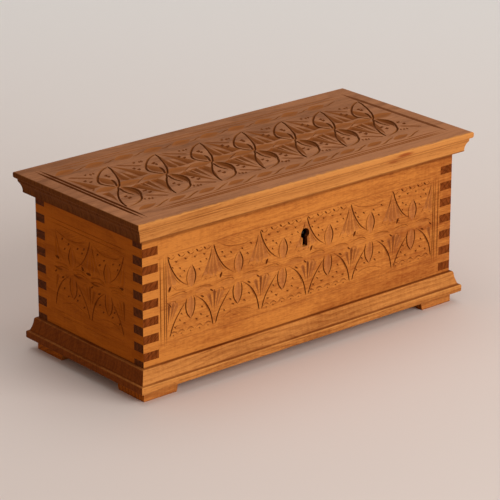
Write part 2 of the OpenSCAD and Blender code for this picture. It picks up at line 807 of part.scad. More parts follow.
// Plate under the lid with two staples that the bolt's fingers go through
module lid_strike_plate() {
    room = finger_room;
    color("#b8923f") difference() {
        union() {
            translate([key_x - strike_half, lock_mid - strike_w / 2, wall_top + inlay_drop])
                cube([2 * strike_half, strike_w, plate_t]);
            at_staples() translate([-staple_t / 2, -staple_w / 2, -staple_h])
                cube([staple_t, staple_w, staple_h + inlay_drop + plate_t / 2]);
        }
        at_staples() translate([-staple_t, -bolt_t / 2 - room, -finger_low - room])
            cube([2 * staple_t, bolt_t + 2 * room, bolt_finger_h + 2 * room]);
        for (s = [-1, 1]) strike_screw_at(s) screw_hole(small_head_r, small_screw_r, hinge_screw_l);
    }
}

module strike_screws() {
    color("#c9a859") for (s = [-1, 1]) strike_screw_at(s) screw(small_head_r, small_screw_r, hinge_screw_l);
}

module base_screws() {
    color("#8f8f95") for (p = base_screw_places)
        translate([p.x, p.y, foot_h]) rotate([180, 0, 0]) screw(base_head_r, base_screw_r, base_screw_l);
}

lid_board();
front_board();
back_board();
left_end_board();
right_end_board();
base_board();
front_left_foot();
front_right_foot();
back_left_foot();
back_right_foot();
left_hinge_box_leaf();
left_hinge_lid_leaf();
left_hinge_pin();
right_hinge_box_leaf();
right_hinge_lid_leaf();
right_hinge_pin();
hinge_box_screws();
hinge_lid_screws();
lock_plate();
lock_cap();
lock_bolt();
lock_spring();
lock_key_pin();
lock_pillars();
lock_screws();
lid_strike_plate();
strike_screws();
base_screws();
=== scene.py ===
import json
import math
import random

import bmesh
import bpy
import numpy as np
from mathutils import Matrix, Vector
from mathutils.geometry import delaunay_2d_cdt


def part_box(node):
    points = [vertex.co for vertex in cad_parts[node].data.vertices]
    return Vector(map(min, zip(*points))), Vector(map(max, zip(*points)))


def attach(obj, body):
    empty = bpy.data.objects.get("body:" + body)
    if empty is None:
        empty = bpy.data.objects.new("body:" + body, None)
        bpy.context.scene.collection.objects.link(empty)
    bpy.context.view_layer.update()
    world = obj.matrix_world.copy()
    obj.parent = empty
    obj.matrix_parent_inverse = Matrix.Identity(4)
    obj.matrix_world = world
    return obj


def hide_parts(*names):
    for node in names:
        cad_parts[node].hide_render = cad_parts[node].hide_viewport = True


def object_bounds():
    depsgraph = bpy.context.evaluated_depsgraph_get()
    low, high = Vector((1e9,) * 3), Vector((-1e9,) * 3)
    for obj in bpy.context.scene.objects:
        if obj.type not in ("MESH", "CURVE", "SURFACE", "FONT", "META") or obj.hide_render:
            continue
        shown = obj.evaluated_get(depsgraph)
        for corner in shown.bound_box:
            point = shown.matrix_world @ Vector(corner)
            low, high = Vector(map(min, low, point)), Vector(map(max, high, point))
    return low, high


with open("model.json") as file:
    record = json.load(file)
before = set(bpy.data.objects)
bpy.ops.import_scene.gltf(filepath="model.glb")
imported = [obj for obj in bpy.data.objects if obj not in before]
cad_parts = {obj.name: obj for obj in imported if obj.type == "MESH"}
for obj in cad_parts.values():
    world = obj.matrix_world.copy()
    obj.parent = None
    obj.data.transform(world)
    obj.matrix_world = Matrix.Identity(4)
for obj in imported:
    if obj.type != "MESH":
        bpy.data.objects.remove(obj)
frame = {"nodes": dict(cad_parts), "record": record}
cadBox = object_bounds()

mm = 0.001  # the frame is in metres, the carving is drawn in millimetres
fullDepth = 1.2  # mm below the face at which a cut takes all of its bottom tone
creaseAngle = math.radians(30)  # edges sharper than this stay sharp
deepestMainCut = 2 * mm  # no main cut of a CAD board goes deeper
flatNormal = 0.9999  # a face is flat where its normal lies this nearly along one axis
samePlace = 1e-6  # metres within which two points, or a point and a face, count as one
nodes = frame["nodes"]
nodeBody = {name: body for body, names in frame["record"]["behaviour"]["bodies"].items() for name in names}
print("frame loaded:", len(nodes), "nodes")


# Materials

def addNode(tree, kind, values=(), **settings):
    node = tree.nodes.new(kind)
    for name, value in settings.items():
        setattr(node, name, value)
    for name, value in dict(values).items():
        if isinstance(value, bpy.types.NodeSocket):
            tree.links.new(value, node.inputs[name])
        else:
            node.inputs[name].default_value = value
    return node


def mathNode(tree, operation, a, b=0.0, clamp=False):
    return addNode(tree, "ShaderNodeMath", {0: a, 1: b}, operation=operation, use_clamp=clamp).outputs[0]


def plus(tree, a, b, clamp=False):
    return mathNode(tree, "ADD", a, b, clamp)


def minus(tree, a, b):
    return mathNode(tree, "SUBTRACT", a, b)


def times(tree, a, b, clamp=False):
    return mathNode(tree, "MULTIPLY", a, b, clamp)


def vectorNode(tree, operation, *values):
    return addNode(tree, "ShaderNodeVectorMath", dict(enumerate(values)), operation=operation)


def ramped(tree, value, low, high, smooth=True):  # 0 below low, 1 above high
    kind = "SMOOTHSTEP" if smooth else "LINEAR"
    node = addNode(tree, "ShaderNodeMapRange", {"Value": value, "From Min": low, "From Max": high},
                   interpolation_type=kind)
    return node.outputs["Result"]


def mixed(tree, factor, a, b, blend="MIX"):
    node = addNode(tree, "ShaderNodeMix", data_type="RGBA", blend_type=blend)
    for socket, value in ((node.inputs[0], factor), (node.inputs[6], a), (node.inputs[7], b)):
        if isinstance(value, bpy.types.NodeSocket):
            tree.links.new(value, socket)
        else:
            socket.default_value = value
    return node.outputs[2]


def stretchedNoise(tree, place, stretch, detail=2.0, roughness=0.5):
    # Stretch: repeats per mm along each axis
    scaled = vectorNode(tree, "MULTIPLY", place, stretch)
    noise = addNode(tree, "ShaderNodeTexNoise",
                    {"Vector": scaled.outputs[0], "Scale": 1.0, "Detail": detail, "Roughness": roughness})
    return noise.outputs["Fac"]


def tone(red, green, blue):  # a colour as it shows on screen, 0 to 255, to the linear one that Blender wants
    def linear(c):
        c /= 255
        return c / 12.92 if c <= 0.04045 else ((c + 0.055) / 1.055) ** 2.4
    return (linear(red), linear(green), linear(blue), 1.0)


# What each board's wood looks like. Turn: degrees from X to the grain. Pith: where the middle of the
# rings lies across the grain, in mm, as ringGap is. Falloff: how the shade grows per mm along each axis,
# a painted falloff of the lamps' light across the board. Facet and bottom: how much of the cut tone steep
# facets and deep bottoms take, partly the cut wood's own colour and dirt, partly painted shade in the cuts.
# Dark lines: painted shade under overhangs and along seams, partly dirt in the seams. Edges: light lines,
# partly wear, partly painted highlight on the arrises. Both give height in mm, half width, strength
lidLook = {"turn": 0, "pith": (24, -46), "ringGap": 3.1, "light": tone(199, 131, 67),
           "dark": tone(154, 90, 40), "topLight": tone(170, 113, 75), "topDark": tone(128, 81, 52),
           "endGrain": tone(98, 48, 10), "cut": tone(98, 46, 12), "tint": tone(152, 90, 44), "facet": 0.5,
           "bottom": 0.6, "streak": 0.35, "paintedFalloff": (-0.001, 0.004, 0), "frontEdge": -65, "rings": 0.3,
           "ripple": 0.1, "mottle": 0.4, "roughness": 0.55, "gloss": 0.03, "saw": 0.1, "upright": 0.4,
           "shadeAndDirtLines": ((107.2, 0.8, 0.6), (114.3, 0.5, 0.35), (116.0, 0.6, 0.5)),
           "edges": ((119.8, 0.4, 0.16),)}
wallLook = {"turn": 0, "pith": (60, 20), "ringGap": 3.6, "light": tone(200, 124, 54),
            "dark": tone(152, 80, 30), "endGrain": tone(60, 26, 7), "cut": tone(104, 44, 10),
            "tint": tone(178, 110, 62), "facet": 0.25, "paintedFalloff": (0.0021, 0, 0), "bottom": 0.3,
            "streak": 0.3, "rings": 0.2, "ripple": 0.25, "mottle": 0.8, "roughness": 0.55, "gloss": 0.05,
            "saw": 0.25, "upright": 0.1, "shadeAndDirtLines": ((22.0, 0.9, 0.75), (103.8, 1.5, 0.5)), "edges": ()}
# The end boards' tones are partly their own wood, partly painted shade: darker and warmer, as the left end
# stands in shade
endLook = {"turn": 90, "pith": (-70, 30), "ringGap": 3.3, "light": tone(176, 91, 20),
           "dark": tone(142, 67, 10), "endGrain": tone(124, 62, 26), "cut": tone(76, 28, 4),
           "tint": tone(158, 78, 16), "facet": 0.08, "paintedFalloff": (0, 0, -0.001), "bottom": 0.12,
           "streak": 0.25, "rings": 0.3, "ripple": 0.2, "mottle": 0.4, "roughness": 0.6, "gloss": 0.02,
           "saw": 0.35, "upright": 0, "shadeAndDirtLines": ((22.0, 0.9, 0.75), (104.4, 1.6, 0.55)), "edges": ()}
baseLook = {"turn": 0, "pith": (-20, -60), "ringGap": 2.9, "light": tone(201, 130, 64),
            "dark": tone(146, 82, 34), "paintedFalloff": (0.0004, 0, 0), "endGrain": tone(122, 54, 8),
            "cut": tone(104, 44, 8), "tint": tone(150, 82, 34), "facet": 0.0, "bottom": 0.0,
            "streak": 0.4, "rings": 0.35, "ripple": 0.3, "mottle": 0.5, "roughness": 0.56, "gloss": 0.04,
            "saw": 0.1, "upright": 0.3, "shadeAndDirtLines": ((22.0, 0.5, 0.8), (12.7, 0.7, 0.6)),
            "edges": ((12.0, 0.5, 0.3),)}
footLook = {"turn": 0, "pith": (30, -30), "ringGap": 3.2, "light": tone(196, 124, 60),
            "dark": tone(156, 86, 36), "paintedFalloff": (0, 0, 0), "endGrain": tone(188, 97, 22),
            "cut": tone(104, 44, 8), "tint": tone(150, 82, 34), "facet": 0.0, "bottom": 0.0,
            "streak": 0.5, "rings": 0.4, "ripple": 0.4, "mottle": 0.4, "roughness": 0.56, "gloss": 0.04,
            "saw": 0.2, "upright": 0.2, "shadeAndDirtLines": ((7.2, 0.7, 0.6), (0.0, 0.6, 0.5)), "edges": ()}
wearAndHighlightTone = tone(224, 158, 84)
knotTone = tone(140, 62, 24)
# The knot in the lid's front edge, from three soft ovals: middle and half size in mm, strength
knots = (((78, -65, 118.0), (8, 4, 1.5), 0.8), ((69.5, -62, 114.4), (4.5, 4, 1.4), 0.5),
         ((74, -62, 116.4), (17, 6, 4), 0.3))


def knotted(tree, place, fibre, colour):
    for middle, size, strength in knots:
        offset = vectorNode(tree, "SUBTRACT", place, middle).outputs[0]
        scaled = vectorNode(tree, "DIVIDE", offset, size).outputs[0]
        away = vectorNode(tree, "LENGTH", scaled).outputs["Value"]
        away = plus(tree, away, times(tree, minus(tree, fibre, 0.5), 0.9))
        inside = minus(tree, 1.0, ramped(tree, away, 0.35, 1.1))
        colour = mixed(tree, times(tree, inside, strength), colour, knotTone)
    return colour


def emptyMaterial(name):
    material = bpy.data.materials.new(name)
    material.use_nodes = True
    material.node_tree.nodes.clear()
    return material, material.node_tree


def addObject(name, data):
    made = bpy.data.objects.new(name, data)
    bpy.context.scene.collection.objects.link(made)
    return made


def woodMaterial(name, look):
    material, tree = emptyMaterial(name)
    coordinates = addNode(tree, "ShaderNodeTexCoord")
    turned = addNode(tree, "ShaderNodeMapping",
                     {"Vector": coordinates.outputs["Object"], "Scale": (1 / mm,) * 3,
                      "Rotation": (0, 0, -math.radians(look["turn"]))})
    place = turned.outputs[0]  # in mm, X along the grain

    # Growth rings: tubes round a wavering pith line, so faces and ends belong together
    waver = stretchedNoise(tree, place, (0.011, 0.03, 0.03), 2.0)
    tremble = stretchedNoise(tree, place, (0.03, 0.35, 0.35), 3.0)
    across = vectorNode(tree, "SUBTRACT", place, (0, *look["pith"]))
    flattened = vectorNode(tree, "MULTIPLY", across.outputs[0], (0, 1, 1))
    radius = vectorNode(tree, "LENGTH", flattened.outputs[0]).outputs["Value"]
    radius = plus(tree, radius, times(tree, waver, 16.0))
    radius = plus(tree, radius, times(tree, tremble, 2.2))
    ring = mathNode(tree, "FRACT", mathNode(tree, "DIVIDE", radius, look["ringGap"]))
    lateWood = times(tree, ramped(tree, ring, 0.35, 0.9), minus(tree, 1.0, ramped(tree, ring, 0.92, 1.0)))

    streak = ramped(tree, stretchedNoise(tree, place, (0.008, 0.11, 0.11), 3.0, 0.55), 0.4, 0.68)
    fibre = stretchedNoise(tree, place, (0.05, 1.5, 1.5), 3.0, 0.6)
    mottle = stretchedNoise(tree, place, (0.22, 0.8, 0.8), 2.0, 0.6)
    flecks = ramped(tree, stretchedNoise(tree, place, (0.28, 2.3, 2.3), 1.0), 0.62, 0.74)
    ripple = stretchedNoise(tree, place, (0.55, 0.05, 0.05), 1.0)
    cloud = stretchedNoise(tree, place, (0.02, 0.03, 0.03), 2.0)

    normal = addNode(tree, "ShaderNodeVectorRotate",
                     {"Vector": coordinates.outputs["Normal"], "Axis": (0, 0, 1),
                      "Angle": -math.radians(look["turn"])}, rotation_type="AXIS_ANGLE")
    facing = addNode(tree, "ShaderNodeSeparateXYZ", {0: normal.outputs[0]})
    endGrain = ramped(tree, mathNode(tree, "ABSOLUTE", facing.outputs[0]), 0.3, 0.95)
    bottom = addNode(tree, "ShaderNodeAttribute", attribute_name="cutDepth").outputs["Fac"]
    facet = addNode(tree, "ShaderNodeAttribute", attribute_name="carvedFace").outputs["Fac"]
    cutShade = addNode(tree, "ShaderNodeAttribute", attribute_name="cutShade").outputs["Fac"]
    tint = addNode(tree, "ShaderNodeAttribute", attribute_name="tint").outputs["Fac"]

    # Colour, from the broad tones to the fine ones
    shade = times(tree, lateWood, look["rings"])
    shade = plus(tree, shade, times(tree, streak, look["streak"]))
    for wave, share in ((fibre, 0.8), (cloud, 0.6), (mottle, look["mottle"]), (ripple, look["ripple"])):
        shade = plus(tree, shade, times(tree, minus(tree, wave, 0.5), share * 1.6))
    # Painted falloff: the shade grows across the board as the lamps' light falls off
    paintedFalloff = vectorNode(tree, "DOT_PRODUCT", place, look["paintedFalloff"])
    shade = plus(tree, shade, paintedFalloff.outputs["Value"])
    shade = plus(tree, shade, 0.15, True)
    light, dark = look["light"], look["dark"]
    if "topLight" in look:  # the top is duller and greyer than the moulding: partly wear, partly a painted sheen
        wornTopAndSheen = ramped(tree, facing.outputs[2], 0.35, 0.95)
        inward = addNode(tree, "ShaderNodeSeparateXYZ", {0: place}).outputs[1]
        inward = minus(tree, inward, look["frontEdge"])
        inward = plus(tree, inward, times(tree, minus(tree, mottle, 0.5), 7.0))
        wornTopAndSheen = times(tree, wornTopAndSheen, ramped(tree, inward, 0.4, 2.4))
        light = mixed(tree, wornTopAndSheen, light, look["topLight"])
        dark = mixed(tree, wornTopAndSheen, dark, look["topDark"])
    colour = mixed(tree, shade, light, dark)
    colour = mixed(tree, times(tree, flecks, 0.3), colour, look["dark"], "MULTIPLY")
    endShade = mixed(tree, times(tree, lateWood, 0.6), look["endGrain"], look["cut"])
    endShade = mixed(tree, times(tree, fibre, 0.4), endShade, look["dark"])
    slanted = addNode(tree, "ShaderNodeVectorRotate", {"Vector": place, "Axis": (1, 0, 0), "Angle": 0.7},
                      rotation_type="AXIS_ANGLE").outputs[0]
    saw = ramped(tree, stretchedNoise(tree, slanted, (0.05, 0.12, 1.3), 1.0), 0.42, 0.62)
    endShade = mixed(tree, times(tree, saw, look["saw"]), endShade, look["cut"], "MULTIPLY")
    upright = ramped(tree, stretchedNoise(tree, place, (0.1, 1.1, 0.12), 2.0), 0.4, 0.65)
    endShade = mixed(tree, times(tree, upright, look["upright"]), endShade, look["cut"], "MULTIPLY")
    colour = mixed(tree, endGrain, colour, endShade)
    colour = mixed(tree, times(tree, tint, plus(tree, 0.6, cloud)), colour, look["tint"])
    # Facets, whole cuts and bottoms take the cut tone: partly the cut wood's own colour and dirt, partly
    # painted shade
    colour = mixed(tree, times(tree, facet, look["facet"]), colour, look["cut"])
    colour = mixed(tree, times(tree, cutShade, plus(tree, 0.6, fibre), True), colour, look["cut"])
    colour = mixed(tree, times(tree, bottom, look["bottom"]), colour, look["cut"])
    if look is lidLook:
        colour = knotted(tree, place, fibre, colour)
    level = addNode(tree, "ShaderNodeSeparateXYZ", {0: place}).outputs[2]
    plain = minus(tree, 1.0, ramped(tree, plus(tree, bottom, facet), 0.0, 0.05))
    # Painted shade in dark lines under overhangs and along seams, partly dirt, and light edges, partly wear,
    # partly painted highlight
    for lines, target in ((look["shadeAndDirtLines"], look["cut"]), (look["edges"], wearAndHighlightTone)):
        for height, width, strength in lines:
            away = mathNode(tree, "ABSOLUTE", minus(tree, level, height))
            near = minus(tree, 1.0, ramped(tree, away, 0.2 * width, width))
            clear = plain if lines is look["shadeAndDirtLines"] else times(tree, plain, minus(tree, 1.0, endGrain))
            near = times(tree, near, clear)
            uneven = times(tree, near, plus(tree, 0.5 * strength, times(tree, cloud, strength)))
            colour = mixed(tree, uneven, colour, target)

    height = plus(tree, times(tree, fibre, 0.5), times(tree, flecks, -0.4))
    height = plus(tree, height, times(tree, lateWood, 0.25))
    height = plus(tree, height, times(tree, mottle, look["mottle"]))
    bump = addNode(tree, "ShaderNodeBump", {"Strength": 0.5, "Distance": 0.15 * mm, "Height": height})
    roughness = plus(tree, times(tree, fibre, 0.16), look["roughness"] - 0.08)
    roughness = plus(tree, roughness, times(tree, endGrain, 0.12))
    shader = addNode(tree, "ShaderNodeBsdfPrincipled",
                     {"Base Color": colour, "Roughness": roughness, "IOR": 1.48,
                      "Specular IOR Level": look["gloss"], "Normal": bump.outputs[0]})
    addNode(tree, "ShaderNodeOutputMaterial", {"Surface": shader.outputs[0]})
    return material


# Metal: colour, tarnish colour, roughness, and how strongly it is brushed along X
brassLook = {"clean": tone(196, 160, 84), "tarnish": tone(122, 88, 40), "roughness": 0.3, "brush": 0.5}
screwBrassLook = {"clean": tone(206, 172, 98), "tarnish": tone(118, 84, 38), "roughness": 0.26,
                  "brush": 0.2}
steelLook = {"clean": tone(150, 146, 140), "tarnish": tone(74, 66, 58), "roughness": 0.36, "brush": 0.6}
# Steel darkened as painted shade, for the lock's parts seen through the keyhole
keyholeShadeSteelLook = {"clean": tone(48, 43, 39), "tarnish": tone(24, 20, 18), "roughness": 0.5, "brush": 0.3}


def metalMaterial(name, look):
    material, tree = emptyMaterial(name)
    coordinates = addNode(tree, "ShaderNodeTexCoord").outputs["Object"]
    place = vectorNode(tree, "MULTIPLY", coordinates, (1 / mm,) * 3).outputs[0]
    blotches = stretchedNoise(tree, place, (0.22, 0.22, 0.22), 4.0, 0.65)
    brushed = stretchedNoise(tree, place, (0.15, 7.0, 7.0), 2.0)
    tarnish = ramped(tree, blotches, 0.42, 0.72)
    colour = mixed(tree, tarnish, look["clean"], look["tarnish"])
    roughness = plus(tree, times(tree, tarnish, 0.22),
                     plus(tree, times(tree, brushed, 0.15), look["roughness"] - 0.07))
    bump = addNode(tree, "ShaderNodeBump", {"Strength": look["brush"] * 0.5, "Distance": 0.03 * mm,
                                            "Height": brushed})
    shader = addNode(tree, "ShaderNodeBsdfPrincipled",
                     {"Base Color": colour, "Roughness": roughness, "Metallic": 1.0,
                      "Normal": bump.outputs[0]})
    addNode(tree, "ShaderNodeOutputMaterial", {"Surface": shader.outputs[0]})
    return material


lidWood = woodMaterial("lidWood", lidLook)
wallWood = woodMaterial("wallWood", wallLook)
endWood = woodMaterial("endWood", endLook)
baseWood = woodMaterial("baseWood", baseLook)
footWood = woodMaterial("footWood", footLook)
brass = metalMaterial("dullBrass", brassLook)
screwBrass = metalMaterial("turnedBrass", screwBrassLook)
steel = metalMaterial("brushedSteel", steelLook)
keyholeShadeSteel = metalMaterial("steelDarkenedAsShade", keyholeShadeSteelLook)
print("materials made")


# Carving. A cut is a few rows of points, each (across, up, depth) in mm; neighbouring rows bound a facet

rng = random.Random(7)


class Cut(list):
    # painted shade: the share of the cut tone a whole cut takes, darkening it as if in shade
    cutShade = 0.0  # how much of the cut tone its whole surface takes
    tint = 0.0   # and how much of the look's tint


def shadedAndTinted(cut, cutShade=0.0, tint=0.0):
    cut = Cut(cut)
    cut.cutShade, cut.tint = cutShade, tint
    return cut


def curveThrough(points, step=1.3):  # smooth line through given points, each (u, v), evenly stepped
    points = [Vector(p) for p in points]
    if len(points) == 2:
        dense = [points[0].lerp(points[1], i / 20) for i in range(21)]
    else:
        ends = [points[0] * 2 - points[1], *points, points[-1] * 2 - points[-2]]
        dense = []
        for i in range(1, len(ends) - 2):
            a, b, c, d = ends[i - 1:i + 3]
            for k in range(12):
                t = k / 12
                dense.append(0.5 * (2 * b + (c - a) * t + (2 * a - 5 * b + 4 * c - d) * t * t
                                    + (3 * b - a - 3 * c + d) * t ** 3))
        dense.append(ends[-2])
    lengths = [0.0]
    for a, b in zip(dense, dense[1:]):
        lengths.append(lengths[-1] + (b - a).length)
    count = max(2, round(lengths[-1] / step))
    xs = np.interp(np.linspace(0, lengths[-1], count + 1), lengths, [p.x for p in dense])
    ys = np.interp(np.linspace(0, lengths[-1], count + 1), lengths, [p.y for p in dense])
    return [Vector((x, y)) for x, y in zip(xs, ys)]


def sideways(line, i):  # unit vector to the left of the line at point i
    along = line[min(i + 1, len(line) - 1)] - line[max(i - 1, 0)]
    return Vector((-along.y, along.x)).normalized()


def groove(points, width=1.2, depth=0.7, taper=(0.15, 0.15), step=1.3):
    # V groove along a curve. Taper: share of the length over which each end runs out
    line = curveThrough(points, step)
    left, bottom, right = [], [], []
    for i, p in enumerate(line):
        t = i / (len(line) - 1)
        size = 1.0
        if taper[0]:
            size = min(size, (t / taper[0]) ** 0.7)
        if taper[1]:
            size = min(size, ((1 - t) / taper[1]) ** 0.7)
        size = max(size, 0.02)
        side = sideways(line, i) * (width / 2 * size)
        left.append((*(p + side), 0.0))
        right.append((*(p - side), 0.0))
        bottom.append((*p, depth * size))
    return [left, bottom, right]


def almond(start, end, width, depth=0.8, lean=0.0, sag=0.0, fullest=0.5, count=12):
    # Leaf shaped pocket from tip to tip. Sag bends its spine to the left, lean shifts its bottom line
    start, end = Vector(start), Vector(end)
    along = end - start
    side = Vector((-along.y, along.x)).normalized()
    left, bottom, right = [], [], []
    for i in range(count + 1):
        t = i / count
        swell = math.sin(math.pi * t ** (math.log(0.5) / math.log(fullest)))
        spine = start + along * t + side * (sag * 4 * t * (1 - t))
        half = width / 2 * max(swell, 0.01)
        left.append((*(spine + side * half), 0.0))
        right.append((*(spine - side * half), 0.0))
        bottom.append((*(spine + side * (lean * half)), depth * max(swell, 0.01) ** 0.8))
    return [left, bottom, right]


def wedge(tip, baseLeft, baseRight, depth=0.9, heel=0.8, count=7, bend=0.0):
    # Ray that opens from a sharp tip to a blunt base, deepest just before its heel
    tip, baseLeft, baseRight = Vector(tip), Vector(baseLeft), Vector(baseRight)
    middle = (baseLeft + baseRight) / 2
    along = (middle - tip).normalized()
    side = Vector((-along.y, along.x))
    left, bottom, right = [], [], []
    for i in range(count + 1):
        t = max(i / count, 0.02)
        curve = side * (bend * 4 * t * (1 - t))
        left.append((*(tip.lerp(baseLeft, t) + curve), 0.0))
        right.append((*(tip.lerp(baseRight, t) + curve), 0.0))
        bottom.append((*(tip.lerp(middle - along * heel, t) + curve), depth * t))
    left.append((*baseLeft, 0.0))
    right.append((*baseRight, 0.0))
    bottom.append((*(middle + along * 0.3), 0.0))
    return [left, bottom, right]


def chip(place, length=2.2, width=1.3, angle=-35, depth=0.6):
    # Small three-sided chip, steep on one side
    place = Vector(place) + Vector((rng.uniform(-0.25, 0.25), rng.uniform(-0.25, 0.25)))
    turn = Matrix.Rotation(math.radians(angle + rng.uniform(-9, 9)), 2)
    size = rng.uniform(0.88, 1.12)
    def at(x, y):
        return place + turn @ (Vector((x, y)) * size)
    first, last = at(-length / 2, 0), at(length / 2, 0)
    left = [(*first, 0.0), (*at(-length * 0.1, width * 0.62), 0.0), (*last, 0.0)]
    bottom = [(*first, 0.0), (*at(-length * 0.05, width * 0.3), depth), (*last, 0.0)]
    right = [(*first, 0.0), (*at(0, -width * 0.38), 0.0), (*last, 0.0)]
    return [left, bottom, right]


def crescent(centre, width, rise, thickness=1.1, depth=0.6, count=8):
    # Curved stab of a gouge: an arch (rise above zero) or a cup (below)
    centre = Vector(centre)
    left, bottom, right = [], [], []
    for i in range(count + 1):
        t = i / count
        swell = max(math.sin(math.pi * t), 0.02)
        x = width * (t - 0.5)
        y = rise * math.sin(math.pi * t)
        sign = 1 if rise > 0 else -1
        left.append((centre.x + x, centre.y + y, 0.0))
        bottom.append((centre.x + x * 0.95, centre.y + y - sign * thickness * 0.3 * swell, depth * swell))
        right.append((centre.x + x * 0.9, centre.y + y - sign * thickness * swell, 0.0))
    return [left, bottom, right]


def cutDepths(cuts, spots):
    # Depth of the deepest facet over each spot, and the painted shade and tint of its cut
    order = np.argsort(spots[:, 0])
    xs = spots[order, 0]
    ys = spots[order, 1]
    depths = np.zeros(len(spots))
    shadesAndTints = np.zeros((len(spots), 2))
    for cut in cuts:
        shadeAndTint = (getattr(cut, "cutShade", 0.0), getattr(cut, "tint", 0.0))
        for rowA, rowB in zip(cut, cut[1:]):
            for i in range(len(rowA) - 1):
                for corners in ((rowA[i], rowA[i + 1], rowB[i]), (rowA[i + 1], rowB[i + 1], rowB[i])):
                    (x0, y0, d0), (x1, y1, d1), (x2, y2, d2) = corners
                    area = (x1 - x0) * (y2 - y0) - (x2 - x0) * (y1 - y0)
                    if abs(area) < 1e-9:
                        continue
                    lo = np.searchsorted(xs, min(x0, x1, x2) - 1e-4)
                    hi = np.searchsorted(xs, max(x0, x1, x2) + 1e-4)
                    px, py = xs[lo:hi], ys[lo:hi]
                    b = ((px - x0) * (y2 - y0) - (x2 - x0) * (py - y0)) / area
                    c = ((x1 - x0) * (py - y0) - (px - x0) * (y1 - y0)) / area
                    slack = 1e-3
                    inside = (b > -slack) & (c > -slack) & (b + c < 1 + slack)
                    found = order[lo:hi][inside]
                    value = d0 + b[inside] * (d1 - d0) + c[inside] * (d2 - d0)
                    deeper = value > depths[found]
                    shadesAndTints[found[deeper]] = shadeAndTint
                    depths[found] = np.maximum(depths[found], value)
    return np.maximum(depths, 0), shadesAndTints


def insideLoops(points, starts, ends):  # even-odd test of points against the outline's edges
    inside = np.zeros(len(points), bool)
    px, py = points[:, 0], points[:, 1]
    for (x0, y0), (x1, y1) in zip(starts, ends):
        crosses = (y0 > py) != (y1 > py)
        if y1 != y0:
            inside ^= crosses & (px < x0 + (py - y0) * (x1 - x0) / (y1 - y0))
    return inside


